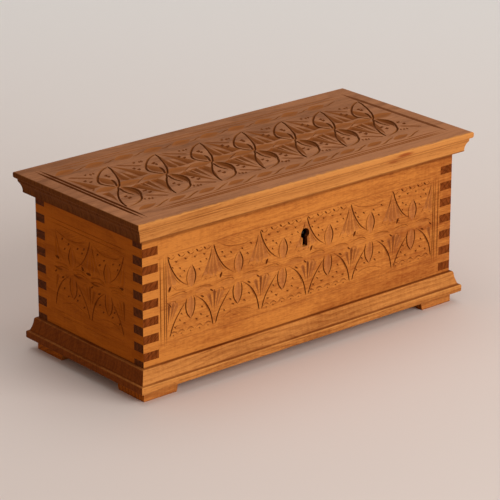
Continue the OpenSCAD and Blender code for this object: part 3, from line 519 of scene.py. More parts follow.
def carvedBoard(pieceName, nodeName, facing, cuts, material, field=(0, 0), share=1.0):
    # Copy of a CAD board whose flat outer face is cut afresh with the carving in it.
    # Facing: axis and sign of the carved face. Field: half size in mm of the part where the board has
    # main cuts already, which the finer ones replace. Share: how much of the drawn depth is cut
    axis, sign = facing
    u, v = [k for k in range(3) if k != axis]
    mesh = nodes[nodeName].data.copy()
    mesh.name = pieceName
    shape = bmesh.new()
    shape.from_mesh(mesh)
    bmesh.ops.remove_doubles(shape, verts=shape.verts, dist=samePlace)
    depthLayer = shape.verts.layers.float.new("cutDepth")
    carvedLayer = shape.faces.layers.float.new("carvedFace")
    cutShadeLayer = shape.faces.layers.float.new("cutShade")
    tintLayer = shape.faces.layers.float.new("tint")
    low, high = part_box(nodeName)
    plane = high[axis] if sign > 0 else low[axis]
    def isCut(p):
        inField = abs(p.co[u]) < field[0] * mm and abs(p.co[v]) < field[1] * mm
        return abs(p.co[axis] - plane) < (deepestMainCut if inField else samePlace)
    flat = [f for f in shape.faces if all(isCut(p) for p in f.verts)]
    bmesh.ops.delete(shape, geom=flat, context="FACES_ONLY")
    loose = [e for e in shape.edges if not e.link_faces]
    bmesh.ops.delete(shape, geom=loose, context="EDGES")
    bmesh.ops.delete(shape, geom=[p for p in shape.verts if not p.link_edges], context="VERTS")
    rim = [e for e in shape.edges if len(e.link_faces) == 1]
    rimVerts = list({p for e in rim for p in e.verts})
    index = {p: i for i, p in enumerate(rimVerts)}
    points = [Vector((p.co[u], p.co[v])) / mm for p in rimVerts]
    edges = [(index[e.verts[0]], index[e.verts[1]]) for e in rim]
    starts = [points[a][:] for a, b in edges]
    ends = [points[b][:] for a, b in edges]
    for cut in cuts:
        for row in cut:
            first = len(points)
            points += [Vector(p[:2]) for p in row]
            edges += [(first + i, first + i + 1) for i in range(len(row) - 1)]
    newPoints, newEdges, newFaces, fromPoints, fromEdges, _ = delaunay_2d_cdt(points, edges, [], 0, 1e-4)
    spots = np.array([p[:] for p in newPoints])
    centres = np.array([spots[list(f)].mean(0) for f in newFaces])
    keep = insideLoops(centres, starts, ends)
    depths = cutDepths(cuts, spots)[0] * share
    shadesAndTints = cutDepths(cuts, centres)[1]

    made = {}
    for k, sources in enumerate(fromPoints):
        rimSources = [s for s in sources if s < len(rimVerts)]
        if rimSources:
            made[k] = rimVerts[rimSources[0]]
    onRim = {}
    for k, sources in enumerate(fromEdges):
        for s in sources:
            if s < len(rim):
                onRim.setdefault(s, set()).update(newEdges[k])
    for s, found in onRim.items():  # where a cut runs over the rim, the wall below gets that point too
        edge, start = rim[s], rim[s].verts[0]
        origin = Vector((start.co[u], start.co[v])) / mm
        extra = sorted((k for k in found if k not in made), key=lambda k: (newPoints[k] - origin).length)
        for k in extra:
            far = edge.other_vert(start)
            here = Vector((start.co[u], start.co[v])) / mm
            there = Vector((far.co[u], far.co[v])) / mm
            along = (newPoints[k] - here).length / max((there - here).length, 1e-9)
            edge, fresh = bmesh.utils.edge_split(edge, start, min(max(along, 0.001), 0.999))
            edge = next(e for e in fresh.link_edges if e.other_vert(fresh) == far)
            made[k] = fresh
            start = fresh

    for f in shape.faces:  # flats stay flat, the mouldings' curves are smooth
        f.smooth = max(abs(c) for c in f.normal) < flatNormal
    for k in range(len(newPoints)):
        if k not in made:
            co = [0.0, 0.0, 0.0]
            co[u], co[v] = spots[k] * mm
            co[axis] = plane
            made[k] = shape.verts.new(co)
        made[k].co[axis] = plane - sign * depths[k] * mm
        # The depth feeds the bottom tone: dirt and painted shade in the deep bottoms of cuts
        made[k][depthLayer] = min(depths[k] / fullDepth, 1.0)
    for f, kept, shadeAndTint in zip(newFaces, keep, shadesAndTints):
        if not kept or len({made[k] for k in f}) < 3:
            continue
        corners = [made[k] for k in f]
        a, b, c = (p.co for p in corners)
        if (b - a).cross(c - a)[axis] * sign < 0:
            corners.reverse()
        if shape.faces.get(corners):
            continue
        face = shape.faces.new(corners)
        face.smooth = False
        # Steep facets darken as painted shade, partly as the cut wood's own colour
        if max(depths[list(f)]) > 0.02:  # the steeper a facet, the darker it is
            face.normal_update()
            flatness = max(abs(face.normal[axis]), 0.1)
            face[carvedLayer] = min(math.sqrt(1 - min(flatness, 1) ** 2) / flatness, 1.0)
            face[cutShadeLayer], face[tintLayer] = shadeAndTint
    unused = [p for p in shape.verts if not p.link_faces]
    bmesh.ops.delete(shape, geom=unused, context="VERTS")
    for e in shape.edges:
        e.smooth = e.calc_face_angle(0) < creaseAngle
    openEdges = sum(1 for e in shape.edges if len(e.link_faces) != 2)
    shape.to_mesh(mesh)
    shape.free()
    mesh.materials.clear()
    mesh.materials.append(material)
    piece = addObject(pieceName, mesh)
    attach(piece, nodeBody[nodeName])
    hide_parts(nodeName)
    print(pieceName, "triangles", len(mesh.polygons), "open edges", openEdges, "cuts", len(cuts))
    return piece


# Walls: rosettes of two leaves and two petals, and between them fans whose rays meet at the border
wallPattern = {
    "border": (33.7, 92.3),      # heights of the two border lines
    "sides": (-116.3, 118.0), "verticalLines": (0, 2.9, 4.5), "lowest": 31.6,
    "fans": (-110.8, -74.6, -37, 2.2, 39.8, 77, 112.5),  # places along the front
    "rosettes": (-92, -54.2, -17.5, 21, 57, 94.5),
    "bays": ("scallop", "lens", "scallop", "scallop", "lens", "scallop"),
    "endFans": (-37, -2.5, 35.5), "endRosettes": (-19.6, 17), "endBays": ("lens", "lens"),
    "bow": (0.9, 0.9),  # width and depth
    "frontShare": 0.8, "endShare": 0.65,  # how much of the drawn depth is cut
    "footChips": ((-109, 69), (-68.4, 68.6), (-31, 68.2), (6.2, 68.4), (43.4, 69.2), (81.4, 69)),
}


def stroke(points, size, taper=(0.15, 0.15), step=1.3):
    return groove(points, size[0], size[1], taper, step=step)


def upperFan(m, sides):
    # Broad soft facets that meet in a tip at the top, between a strong bow on the right and a faint one
    w = wallPattern
    m += rng.uniform(-0.2, 0.2)
    def at(*points):
        return [(m + x, z) for x, z in points]
    cuts = []
    if 1 in sides:
        cuts.append(stroke(at((0.4, 90.4), (2.3, 84.5), (5.1, 79), (8.6, 74), (12.6, 70.5), (16.8, 67.8)),
                           w["bow"], (0.06, 0.3)))
        cuts.append(stroke(at((1.2, 86), (3.7, 79), (6.7, 74), (10, 70.6)), (0.8, 0.42), (0.2, 0.25)))
    if -1 in sides:
        cuts.append(stroke(at((-1, 88.5), (-2.3, 83), (-4.8, 77), (-7.8, 72.5), (-9.8, 69.6)),
                           (0.9, 0.6), (0.25, 0.2)))
    for a, b, low in ((-8.4, -4.6, 71.6), (-4.4, -0.4, 69.8), (-0.2, 3.8, 69.6), (4.0, 8.2, 71.2)):
        if (a < -1 and -1 not in sides) or (b > 1 and 1 not in sides):
            continue
        ray = wedge((m + (a + b) * 0.05, 88.0), (m + a, low), (m + b, low), 0.95, 3.0)
        cuts.append(shadedAndTinted(ray, 0.0, 0.35))
        cuts.append(crescent((m + (a + b) / 2 - 0.2, 67.9), 2.5, 1.5, 0.7, 0.35, 5))
    return cuts


def lowerFan(m, sides):
    # Sharp rays between two bows that meet in a tip at the bottom
    w = wallPattern
    m += rng.uniform(-0.2, 0.2)
    def at(*points):
        return [(m + x, z) for x, z in points]
    cuts = []
    if -1 in sides:
        cuts.append(stroke(at((-15.6, 60.6), (-10.5, 57), (-6.5, 53), (-3.5, 48), (-1.8, 43), (-0.6, 37)),
                           w["bow"], (0.3, 0.06)))
        cuts.append(stroke(at((-9.4, 56), (-6, 51), (-3.6, 46)), (0.7, 0.35), (0.3, 0.3)))
        cuts.append(shadedAndTinted(wedge((m - 0.9, 47.5), (m - 5.2, 57.6), (m - 2.2, 59.2), 1.0, 2.2), 0.15, 0.4))
        cuts.append(shadedAndTinted(stroke(at((-10.4, 58.9), (-7.6, 57.1)), (1.3, 1.1), (0.3, 0.3), 0.6), 0.4))
        cuts.append(shadedAndTinted(stroke(at((-2.8, 61.4), (-0.4, 59.2)), (1.1, 1.0), (0.3, 0.3), 0.6), 0.4))
    if 1 in sides:
        cuts.append(stroke(at((1.4, 37.2), (2.9, 42), (5.4, 47), (9.4, 52.5), (14, 58)), (1.0, 0.85),
                           (0.06, 0.3)))
        cuts.append(shadedAndTinted(wedge((m + 0.4, 45.5), (m - 0.4, 59.8), (m + 2.2, 60.2), 1.15, 2.0), 0.2, 0.4))
        cuts.append(shadedAndTinted(wedge((m + 1.5, 47), (m + 3.2, 60.2), (m + 6.0, 59.6), 0.95, 2.6), 0.0, 0.35))
        cuts.append(shadedAndTinted(wedge((m + 2.4, 47.5), (m + 6.4, 59.2), (m + 9.0, 57.2), 0.8, 2.6), 0.0, 0.35))
    return cuts


def rosetteCuts(c):
    # Upright leaves with a dark strip right of their spine, and lying petals as long light bands
    c += rng.uniform(-0.2, 0.2)
    def at(*points):
        return [(c + x, z) for x, z in points]
    return [
        shadedAndTinted(almond((c + 0.3, 66.2), (c + 0.4, 80.9), 5.8, 0.55, -0.1, fullest=0.46), 0.0, 0.4),
        shadedAndTinted(almond((c + 0.9, 67.6), (c + 0.7, 80.2), 2.3, 0.8, 0.2), 0.0, 0.4),
        stroke(at((0.8, 81.2), (3.2, 76), (3.5, 72), (1.8, 66.8)), (0.9, 0.9), (0.2, 0.25)),
        stroke(at((-2.4, 67), (-3.5, 72.4), (-2.6, 77), (0.2, 81)), (0.7, 0.35), (0.25, 0.25)),
        shadedAndTinted(almond((c - 0.4, 60.8), (c - 0.5, 45.8), 5.6, 0.55, 0.1, fullest=0.46), 0.0, 0.4),
        shadedAndTinted(almond((c + 0.3, 60.2), (c + 0.0, 47.4), 2.4, 0.8, -0.2), 0.0, 0.4),
        stroke(at((-3.4, 60), (-4.5, 55.5), (-3.7, 50), (-0.6, 45.5)), (0.9, 0.85), (0.2, 0.12)),
        stroke(at((1.8, 60.5), (2.8, 56), (2.1, 50.5), (-0.3, 45.9)), (0.8, 0.75), (0.2, 0.12)),
        shadedAndTinted(almond((c - 2.6, 62.2), (c - 16.5, 61.8), 4.0, 0.5, -0.6), 0.0, 0.1),
        shadedAndTinted(almond((c + 2.2, 62.6), (c + 16.5, 62.4), 4.0, 0.5, 0.6), 0.0, 0.1),
        stroke(at((-14.8, 70.4), (-12, 67.3), (-7, 66.2), (-3, 64.8)), (0.7, 0.35), (0.3, 0.2)),
        stroke(at((-18, 63.9), (-11, 65), (-6, 64.8), (-3.2, 62.9)), (0.8, 0.6), (0.3, 0.15)),
        stroke(at((2.6, 64.6), (9.5, 64.9), (14, 64.2), (17.2, 62.7)), (0.8, 0.65), (0.3, 0.15)),
        stroke(at((-16.8, 60.6), (-12.6, 59.8), (-11.8, 57.2)), (0.8, 0.4), (0.3, 0.3)),
    ]


def scallopBay(c):
    # Rows of gouge strokes and chips above and below a rosette
    cuts = []
    for x in (-18.0, -10.2, -3.0, 4.0, 10.2):
        x += c + rng.uniform(-0.3, 0.3)
        cuts.append(shadedAndTinted(stroke([(x - 0.3, 90.7), (x + 1.6, 88.5)], (1.1, 0.9), (0.3, 0.25), 0.6), 0.15))
        tail = [(x + 1.6, 88.5), (x + 3.4, 88.2), (x + 5.6, 89.7)]
        cuts.append(stroke(tail, (0.7, 0.5), (0.15, 0.35), 0.9))
        cuts.append(stroke([(x + 3.1, 90.7), (x + 4.7, 90.1)], (0.6, 0.4), (0.3, 0.3), 0.6))
    for x in (-14.8, -8.3, -1.3, 6.0, 12.8):
        x += c + rng.uniform(-0.3, 0.3)
        cuts.append(shadedAndTinted(crescent((x, 38.2), 6.8, 2.4, 1.3, 0.8, 6), 0.2))
        cuts.append(shadedAndTinted(chip((x + 0.2, 37.4), 1.7, 1.2, -25, 0.7), 0.2))
    upper = [(-12, 85.6), (-4.6, 85.9), (2.6, 85.8), (10, 85.4), (-8.7, 80.6), (7.4, 81), (-8.8, 75.6),
             (6.2, 76.2), (-5.6, 78.4), (-14.4, 82.6), (12.2, 81.8)]
    lower = [(-8, 50.4), (8, 51.2), (-9.6, 46.3), (7.4, 46.3), (-13.2, 42.9), (-6, 43.4), (3.6, 43.8),
             (12, 43.3)]
    cuts += [shadedAndTinted(chip((c + x, z), 2.5, 1.3, -40, 0.85), 0.3) for x, z in upper + lower]
    cuts += [stroke([(c + x + 0.4, z - 0.4), (c + x + 1.6, z + 0.9)], (0.6, 0.4), (0.3, 0.3), 0.6)
             for x, z in upper[:4] + lower[4:]]
    return cuts


def lensBay(c):
    # A shallow lens along each border, faintly hatched, and a few chips
    cuts = [stroke([(c - 15, 89.8), (c - 10, 86.9), (c - 3, 85.3), (c + 5, 84.9), (c + 12.6, 86.8)],
                   (0.8, 0.5), (0.2, 0.2)),
            stroke([(c - 14, 39), (c - 8, 42.1), (c - 1, 42.9), (c + 7, 41.2), (c + 13, 38.4)],
                   (0.8, 0.42), (0.2, 0.2))]
    for k in range(8):
        x = c - 18 + k * 3.6 + rng.uniform(-0.4, 0.4)
        drop = (2.6, 4.0, 5.0, 5.6, 5.6, 5.0, 4.0, 2.6)[k]
        cuts.append(stroke([(x, 91.6), (x + drop * 1.9, 91.6 - drop)], (0.7, 0.2), (0.2, 0.3), 2.0))
    for k in range(7):
        x = c - 13 + k * 3.4 + rng.uniform(-0.4, 0.4)
        rise = (1.6, 3.4, 4.6, 5.0, 4.4, 3.2, 1.8)[k]
        cuts.append(stroke([(x - 1, 36.9 + rise), (x + rise * 1.4, 36.9)], (0.7, 0.2), (0.2, 0.3), 2.0))
    chips = [(-13, 83.3), (-11, 79.5), (-6, 81.6), (3, 81.6), (9.8, 83.6), (7.6, 77.3), (-7, 50.3),
             (-4.8, 46.4), (4.6, 46.4), (-12, 43.8), (8.4, 50.6)]
    cuts += [shadedAndTinted(chip((c + x, z), 3.1, 1.5, -36, 0.95), 0.3) for x, z in chips]
    return cuts


def wallCuts(fans, rosettes, bays):
    # Fans and rosettes: places along the wall. Bays: "scallop" or "lens", one for each rosette
    cuts = []
    for i, m in enumerate(fans):
        sides = (1,) if i == 0 else ((-1,) if i == len(fans) - 1 else (-1, 1))
        cuts += upperFan(m, sides) + lowerFan(m + 0.3, sides)
    for c, kind in zip(rosettes, bays):
        cuts += rosetteCuts(c)
        cuts += scallopBay(c) if kind == "scallop" else lensBay(c)
    return cuts


def frontBorder():
    w = wallPattern
    low, high = w["border"]
    left, right = w["sides"]
    cuts = [stroke([(left + 2, high), (right - 2, high)], (0.9, 0.35), (0.01, 0.01), 12),
            stroke([(left + 2, low), (right - 2, low)], (1.5, 0.3), (0.01, 0.01), 12)]
    for inset in w["verticalLines"]:
        for x in (left + inset, right - inset):
            cuts.append(stroke([(x, w["lowest"]), (x, high - 0.6)], (0.9, 0.45), (0.02, 0.02), 12))
    return cuts


def endBorder():
    # Two lines above, two below, and a thin bow under the upper ones over each half
    cuts = []
    for height, size in ((95.0, (0.9, 0.5)), (92.3, (0.9, 0.5)), (33.6, (1.4, 0.4)), (30.8, (0.8, 0.4))):
        cuts.append(stroke([(-42, height), (42.5, height)], size, (0.02, 0.02), 12))
    for points in (((-35, 88.5), (-28, 86), (-20, 85.3), (-12, 86.2), (-5, 88.8)),
                   ((1, 88.5), (9, 86.2), (18, 85.3), (26, 85.8), (34, 88))):
        cuts.append(stroke(points, (0.8, 0.5), (0.15, 0.15)))
    for y, z, y2, z2 in ((-36, 68.6, -31, 67.6), (-2.6, 67.9, 2.6, 67.9), (5, 68.4, 7.2, 70.8),
                         (30.5, 69.8, 35, 70.2)):
        cuts.append(shadedAndTinted(stroke([(y, z), (y2, z2)], (2.0, 1.2), (0.2, 0.4), 0.6), 0.6))
    # The petals' edges
    for y, z, rise in ((-36, 65.6, 1.6), (-17, 65.8, 1.9), (2, 65.8, 1.8), (20, 66, 0.8)):
        cuts.append(stroke([(y, z), (y + 5, z + rise), (y + 10, z + rise * 0.8), (y + 15, z)],
                           (1.8, 0.9), (0.15, 0.15)))
    for y in (-12, 6, 26):
        cuts.append(shadedAndTinted(stroke([(y, 63.2), (y + 5, 62.6), (y + 10, 63.2)], (1.6, 0.8), (0.2, 0.2)), 0.4))
    return cuts


frontCuts = frontBorder() + wallCuts(wallPattern["fans"], wallPattern["rosettes"], wallPattern["bays"])
frontCuts.append(shadedAndTinted(stroke([(-111.2, 60.6), (-108, 56.9)], (1.2, 1.0), (0.3, 0.3), 0.6), 0.4))
for x, z in wallPattern["footChips"]:
    footChip = stroke([(x - 0.9, z - 1.9), (x + 0.9, z + 1.9)], (1.6, 1.3), (0.25, 0.35), 0.6)
    frontCuts.append(shadedAndTinted(footChip, 0.7))
sideCuts = endBorder() + wallCuts(wallPattern["endFans"], wallPattern["endRosettes"], wallPattern["endBays"])
carvedBoard("carvedFront", "front_board", (1, -1), frontCuts, wallWood,
            share=wallPattern["frontShare"])
carvedBoard("carvedLeftEnd", "left_end_board", (0, -1), sideCuts, endWood,
            share=wallPattern["endShare"])
carvedBoard("carvedRightEnd", "right_end_board", (0, 1), sideCuts, endWood,
            share=wallPattern["endShare"])
print("walls carved")


# Lid: seven crossing S strokes with fans between them, a wavy middle band and a border of linked leaves
lidPattern = {"units": (-106.7, -68.5, -31.8, 3.9, 38.5, 73.0, 107.5), "middle": -0.3,
              "borderFirst": -115.2, "borderPitch": 23.4, "borderCount": 10, "field": (134, 60),
              "edgeGrooves": (-129.1, -126.0), "rightGroove": 129.0,  # across the board
              "frontLines": (-52.1, -50.3, -47.4), "backLines": (49.2, 52.8)}


def lidUnit(x0, y0, lastOne=False, firstOne=False):
    def at(*points):
        return [(x0 + x, y0 + y) for x, y in points]
    longStroke = [(-17.6, -33.5), (-15.9, -26.5), (-13.5, -20.8), (-11, -16), (-8, -11.5), (-5, -7.5),
                  (-2.3, -4.5), (0, -1), (2.5, 1), (5.5, 5), (8.5, 9.5), (11, 14.5), (13.5, 19.5),
                  (15.5, 24.5), (17.25, 28.5), (18.25, 32.5), (19, 35)]
    backArc = [(18.6, 34.6), (14, 32.5), (10, 30), (6, 26.5), (2.5, 23), (0, 20), (-2.5, 16.5), (-4, 13.5),
               (-4.6, 10.5), (-4, 7.6), (-2.4, 4), (-0.4, 0.8)]
    frontArc = [(0.8, -0.8), (3, -3), (5, -5.8), (6.2, -9), (6.3, -12.5), (5.25, -16), (3.5, -19.5),
                (1.2, -23), (-1, -26.5), (-4, -29), (-7, -30.8), (-10.5, -32.3), (-14.5, -33.5), (-17, -34)]
    cuts = [
        groove(at(*longStroke), 1.4, 1.2, (0.03, 0.04)),
        groove(at(*backArc), 1.6, 1.1, (0.05, 0.05)),
        groove(at(*frontArc), 1.6, 1.1, (0.05, 0.2)),
        groove(at((5.25, 13.5), (5, 10.5), (4, 7.5), (2.5, 4.5), (0.5, 1)), 1.6, 1.0, (0.15, 0.05)),
        groove(at((-0.25, -2.4), (-1.25, -6), (-2, -9.5), (-2.1, -12.5), (-1.5, -15.5), (-0.75, -19)),
               1.6, 1.0, (0.1, 0.15)),
        groove(at((4.3, -8.2), (4.6, -12), (3.6, -16), (1.8, -19.5), (0.2, -22.4)), 0.7, 0.45, (0.2, 0.3)),
        # leaves behind and in front of the middle
        shadedAndTinted(almond(*at((1.4, 22.4), (0.6, 4)), 7.4, 1.2, -0.5, 0.3, 0.55), 0.15, 0.9),
        shadedAndTinted(almond(*at((1.3, -2.2), (0.8, -21.6)), 6.6, 1.2, 0.45, 1.8, 0.42), 0.15, 0.9),
        # shallow straight flutes
        shadedAndTinted(groove(at((-14, 33), (-1.6, 22)), 2.8, 0.6, (0.12, 0.12)), 0.3, 0.2),
        shadedAndTinted(groove(at((3.6, -23.2), (15, -33)), 2.8, 0.6, (0.12, 0.12)), 0.3, 0.2),
    ]
    # fans between this stroke and the next
    rays = []
    if not lastOne:
        rays += [wedge(*at((18.6, 30), (8.4, 6.6), (15.6, 7)), 1.2, 1.4, bend=-0.8),
                 wedge(*at((18.6, 22), (15.8, 6), (21.6, 6)), 1.1, 1.2),
                 wedge(*at((19.6, 34.5), (22.2, 6.2), (31, 7.6)), 1.3, 1.8, bend=1.4),
                 wedge(*at((18.4, -31.5), (6.2, -6), (13.4, -4.6)), 1.3, 1.6, bend=0.5),
                 wedge(*at((15.7, -17), (13.8, -4.6), (17.2, -4.6)), 0.9, 1.0),
                 wedge(*at((18.6, -24.5), (17.5, -3.6), (22, -3.6)), 1.1, 1.4),
                 wedge(*at((19.2, -30.5), (22.4, -4.4), (31, -4.4)), 1.2, 1.6, bend=-1.2)]
    if firstOne:  # the halves that the border cuts off
        rays += [wedge(*at((-16.4, 30), (-16.4, 6.6), (-7.6, 6.8)), 1.3, 1.8, bend=0.5),
                 chip(at((-14.8, 4.4))[0], 3.6, 2.2, 50, 0.7),
                 wedge(*at((-16.2, -22.5), (-15.6, -5), (-10, -5)), 1.0, 1.4, bend=-0.8)]
    cuts += [shadedAndTinted(ray, 0.2, 0.9) for ray in rays]
    # wavy band: a shallow leaf on each side of the middle, parted by a bent line
    cuts += [shadedAndTinted(almond(*at((-1, 0.6), (20, 1.6)), 9.0, 0.5, 0.1, 0.4), 0.0, 0.9),
             shadedAndTinted(almond(*at((0, 0), (-16.8 if firstOne else -18.6, 0)), 8.4, 0.5, 0.1, -0.4), 0.0, 0.9)]
    if not lastOne:
        cuts.append(groove(at((11, -4), (15, -2), (18.5, 0.5), (21, 2), (24, 3.5), (28.4, 4.2)), 0.9, 0.6,
                           (0.2, 0.4)))
    # commas in twos and threes
    twos = [(-8.75, 21, 50), (-7, 17.25, 50), (7.75, 21.25, 55), (7.75, 18.5, 55), (-6.75, -17.75, 35),
            (-6, -21.5, 45), (9, -16.75, 30), (10, -21, 45)]
    threes = [(-1.75, 30, 60), (1.5, 29, 60), (3.6, 29, 60), (-0.2, -29, 60), (2, -30, 60), (4.2, -30.5, 60)]
    cuts += [shadedAndTinted(chip(*at((x, y)), 4.6, 3.0, angle, 1.0), 0.6, 0.6) for x, y, angle in twos]
    cuts += [shadedAndTinted(chip(*at((x, y)), 4.2, 2.2, angle, 0.7), 0.4, 0.5) for x, y, angle in threes]
    return cuts


def lidCuts():
    p = lidPattern
    cuts = []
    for x in p["units"]:
        cuts += lidUnit(x, p["middle"], x == p["units"][-1], x == p["units"][0])
    for i in range(p["borderCount"]):
        x = p["borderFirst"] + i * p["borderPitch"]
        cuts.append(shadedAndTinted(almond((x - 9, 40.8), (x + 8.4, 43.6), 8.4, 0.5, 0.2, 0.3), 0.0, 1.0))
        cuts.append(shadedAndTinted(almond((x - 7.4, -42.8), (x + 8.4, -39.6), 6.0, 0.5, -0.2, 0.3), 0.0, 1.0))
        cuts.append(groove([(x + 4.4, 40.2), (x + 9.4, 41), (x + 13.4, 43), (x + 18, 44)],
                           1.1, 0.6, (0.2, 0.2)))
        cuts.append(groove([(x + 2.4, -45), (x + 7, -44), (x + 13.6, -40.6), (x + 20, -38)],
                           1.3, 0.9, (0.15, 0.2)))
    for x in p["edgeGrooves"]:
        cuts.append(shadedAndTinted(groove([(x, -56), (x, 56.5)], 2.2, 1.2, (0.01, 0.01), step=14), 0.6))
    x = p["rightGroove"]
    cuts.append(shadedAndTinted(groove([(x, -52), (x, 55)], 3.2, 0.8, (0.01, 0.01), step=14), 0.4))
    for y in p["frontLines"]:
        cuts.append(shadedAndTinted(groove([(-113.0, y), (127.0, y)], 1.3, 0.5, (0.02, 0.02), step=14), 0.1, 0.8))
    for y in p["backLines"]:
        cuts.append(shadedAndTinted(groove([(-121.0, y), (126.0, y)], 1.1, 0.3, (0.02, 0.02), step=14), 0.0, 0.5))
    return cuts


carvedBoard("carvedLid", "lid_board", (2, 1), lidCuts(), lidWood, lidPattern["field"])
print("lid carved")


# Back: only a border line, as its carving doesn't show
backPattern = {"inset": (14.0, 11.0), "lines": (0.0, 2.4)}


def backCuts():
    cuts = []
    low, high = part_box("back_board")
    across, up = backPattern["inset"]
    for inset in backPattern["lines"]:
        left, right = low.x / mm + across + inset, high.x / mm - across - inset
        bottom, top = low.z / mm + up + inset, high.z / mm - up - inset
        corners = [(left, bottom), (right, bottom), (right, top), (left, top)]
        for a, b in zip(corners, corners[1:] + corners[:1]):
            cuts.append(groove([a, b], 0.8, 0.4, (0.004, 0.004), step=12))
    return cuts


carvedBoard("linedBack", "back_board", (1, 1), backCuts(), wallWood)


# Screws: one is built in the node tree and put on a point for each, its slot turned at random
screwInputNames = ("Head Radius", "Shank Radius", "Length", "Slot Width", "Slot Depth")
screwSizes = {  # in mm, in that order
    "small": (1.85, 1.0, 8.0, 0.55, 0.3),
    "lock": (1.85, 1.0, 5.5, 0.55, 0.3),
    "base": (2.85, 1.5, 30.0, 0.85, 0.47),
}
screwSets = {
    "hinge_box_screws": ("hingeBoxScrews", "small", screwBrass, "screw_brass", 3),
    "hinge_lid_screws": ("hingeLidScrews", "small", screwBrass, "screw_brass", 5),
    "strike_screws": ("strikeScrews", "small", screwBrass, "screw_brass", 8),
    "lock_screws": ("lockScrews", "lock", screwBrass, "screw_brass", 4),
    "base_screws": ("baseScrews", "base", steel, "steel", 6),
}


def screwTree():
    tree = bpy.data.node_groups.new("countersunkScrews", "GeometryNodeTree")
    tree.interface.new_socket("Geometry", in_out="INPUT", socket_type="NodeSocketGeometry")
    sizes = {}
    kinds = [(name, "NodeSocketFloat") for name in screwInputNames]
    for name, kind in (*kinds, ("Seed", "NodeSocketInt"), ("Material", "NodeSocketMaterial")):
        sizes[name] = tree.interface.new_socket(name, in_out="INPUT", socket_type=kind).identifier
    tree.interface.new_socket("Geometry", in_out="OUTPUT", socket_type="NodeSocketGeometry")
    given = addNode(tree, "NodeGroupInput").outputs

    # The turned body: a line down the axis whose points carry the radius there
    headHeight = minus(tree, given["Head Radius"], given["Shank Radius"])
    heights = (0.0, times(tree, headHeight, -1.0),
               minus(tree, times(tree, given["Shank Radius"], 2.0), given["Length"]),
               times(tree, given["Length"], -1.0))
    radii = (given["Head Radius"], given["Shank Radius"], given["Shank Radius"],
             times(tree, given["Shank Radius"], 0.1))
    index = addNode(tree, "GeometryNodeInputIndex").outputs[0]
    chosen = []
    for values in (heights, radii):
        switch = addNode(tree, "GeometryNodeIndexSwitch", {"Index": index}, data_type="FLOAT")
        while len(switch.index_switch_items) < len(values):
            switch.index_switch_items.new()
        for k, value in enumerate(values):
            if isinstance(value, bpy.types.NodeSocket):
                tree.links.new(value, switch.inputs[k + 1])
            else:
                switch.inputs[k + 1].default_value = value
        chosen.append(switch.outputs[0])
    line = addNode(tree, "GeometryNodeMeshLine", {"Count": 4})
    place = addNode(tree, "ShaderNodeCombineXYZ", {"Z": chosen[0]})
    line = addNode(tree, "GeometryNodeSetPosition",
                   {"Geometry": line.outputs[0], "Position": place.outputs[0]})
    curve = addNode(tree, "GeometryNodeMeshToCurve", {"Mesh": line.outputs[0]})
    ring = addNode(tree, "GeometryNodeCurvePrimitiveCircle", {"Resolution": 32, "Radius": 1.0})
    body = addNode(tree, "GeometryNodeCurveToMesh",
                   {"Curve": curve.outputs[0], "Profile Curve": ring.outputs[0], "Scale": chosen[1],
                    "Fill Caps": True})

    # The slot across the head
    across = times(tree, given["Head Radius"], 2.2)
    high = times(tree, given["Slot Depth"], 2.0)
    size = addNode(tree, "ShaderNodeCombineXYZ", {"X": across, "Y": given["Slot Width"], "Z": high})
    bar = addNode(tree, "GeometryNodeMeshCube", {"Size": size.outputs[0]})
    slotted = addNode(tree, "GeometryNodeMeshBoolean",
                      {"Mesh 1": body.outputs[0], "Mesh 2": bar.outputs["Mesh"]},
                      operation="DIFFERENCE", solver="EXACT")

    outward = addNode(tree, "GeometryNodeInputNamedAttribute", {"Name": "outward"}, data_type="FLOAT_VECTOR")
    upright = addNode(tree, "FunctionNodeAlignRotationToVector", {"Vector": outward.outputs[0]}, axis="Z")
    spin = addNode(tree, "FunctionNodeRandomValue", data_type="FLOAT")
    spin.inputs[2].default_value = 0.0
    spin.inputs[3].default_value = math.pi
    tree.links.new(given["Seed"], spin.inputs["Seed"])
    turn = addNode(tree, "FunctionNodeAxisAngleToRotation", {"Axis": (0, 0, 1), "Angle": spin.outputs[1]})
    turned = addNode(tree, "FunctionNodeRotateRotation",
                     {"Rotation": upright.outputs[0], "Rotate By": turn.outputs[0]}, rotation_space="LOCAL")
    placed = addNode(tree, "GeometryNodeInstanceOnPoints",
                     {"Points": given["Geometry"], "Instance": slotted.outputs["Mesh"],
                      "Rotation": turned.outputs[0], "Scale": (mm, mm, mm)})
    real = addNode(tree, "GeometryNodeRealizeInstances", {"Geometry": placed.outputs[0]})
    finished = addNode(tree, "GeometryNodeSetMaterial",
                       {"Geometry": real.outputs[0], "Material": given["Material"]})
    addNode(tree, "NodeGroupOutput", {"Geometry": finished.outputs[0]})
    return tree, sizes


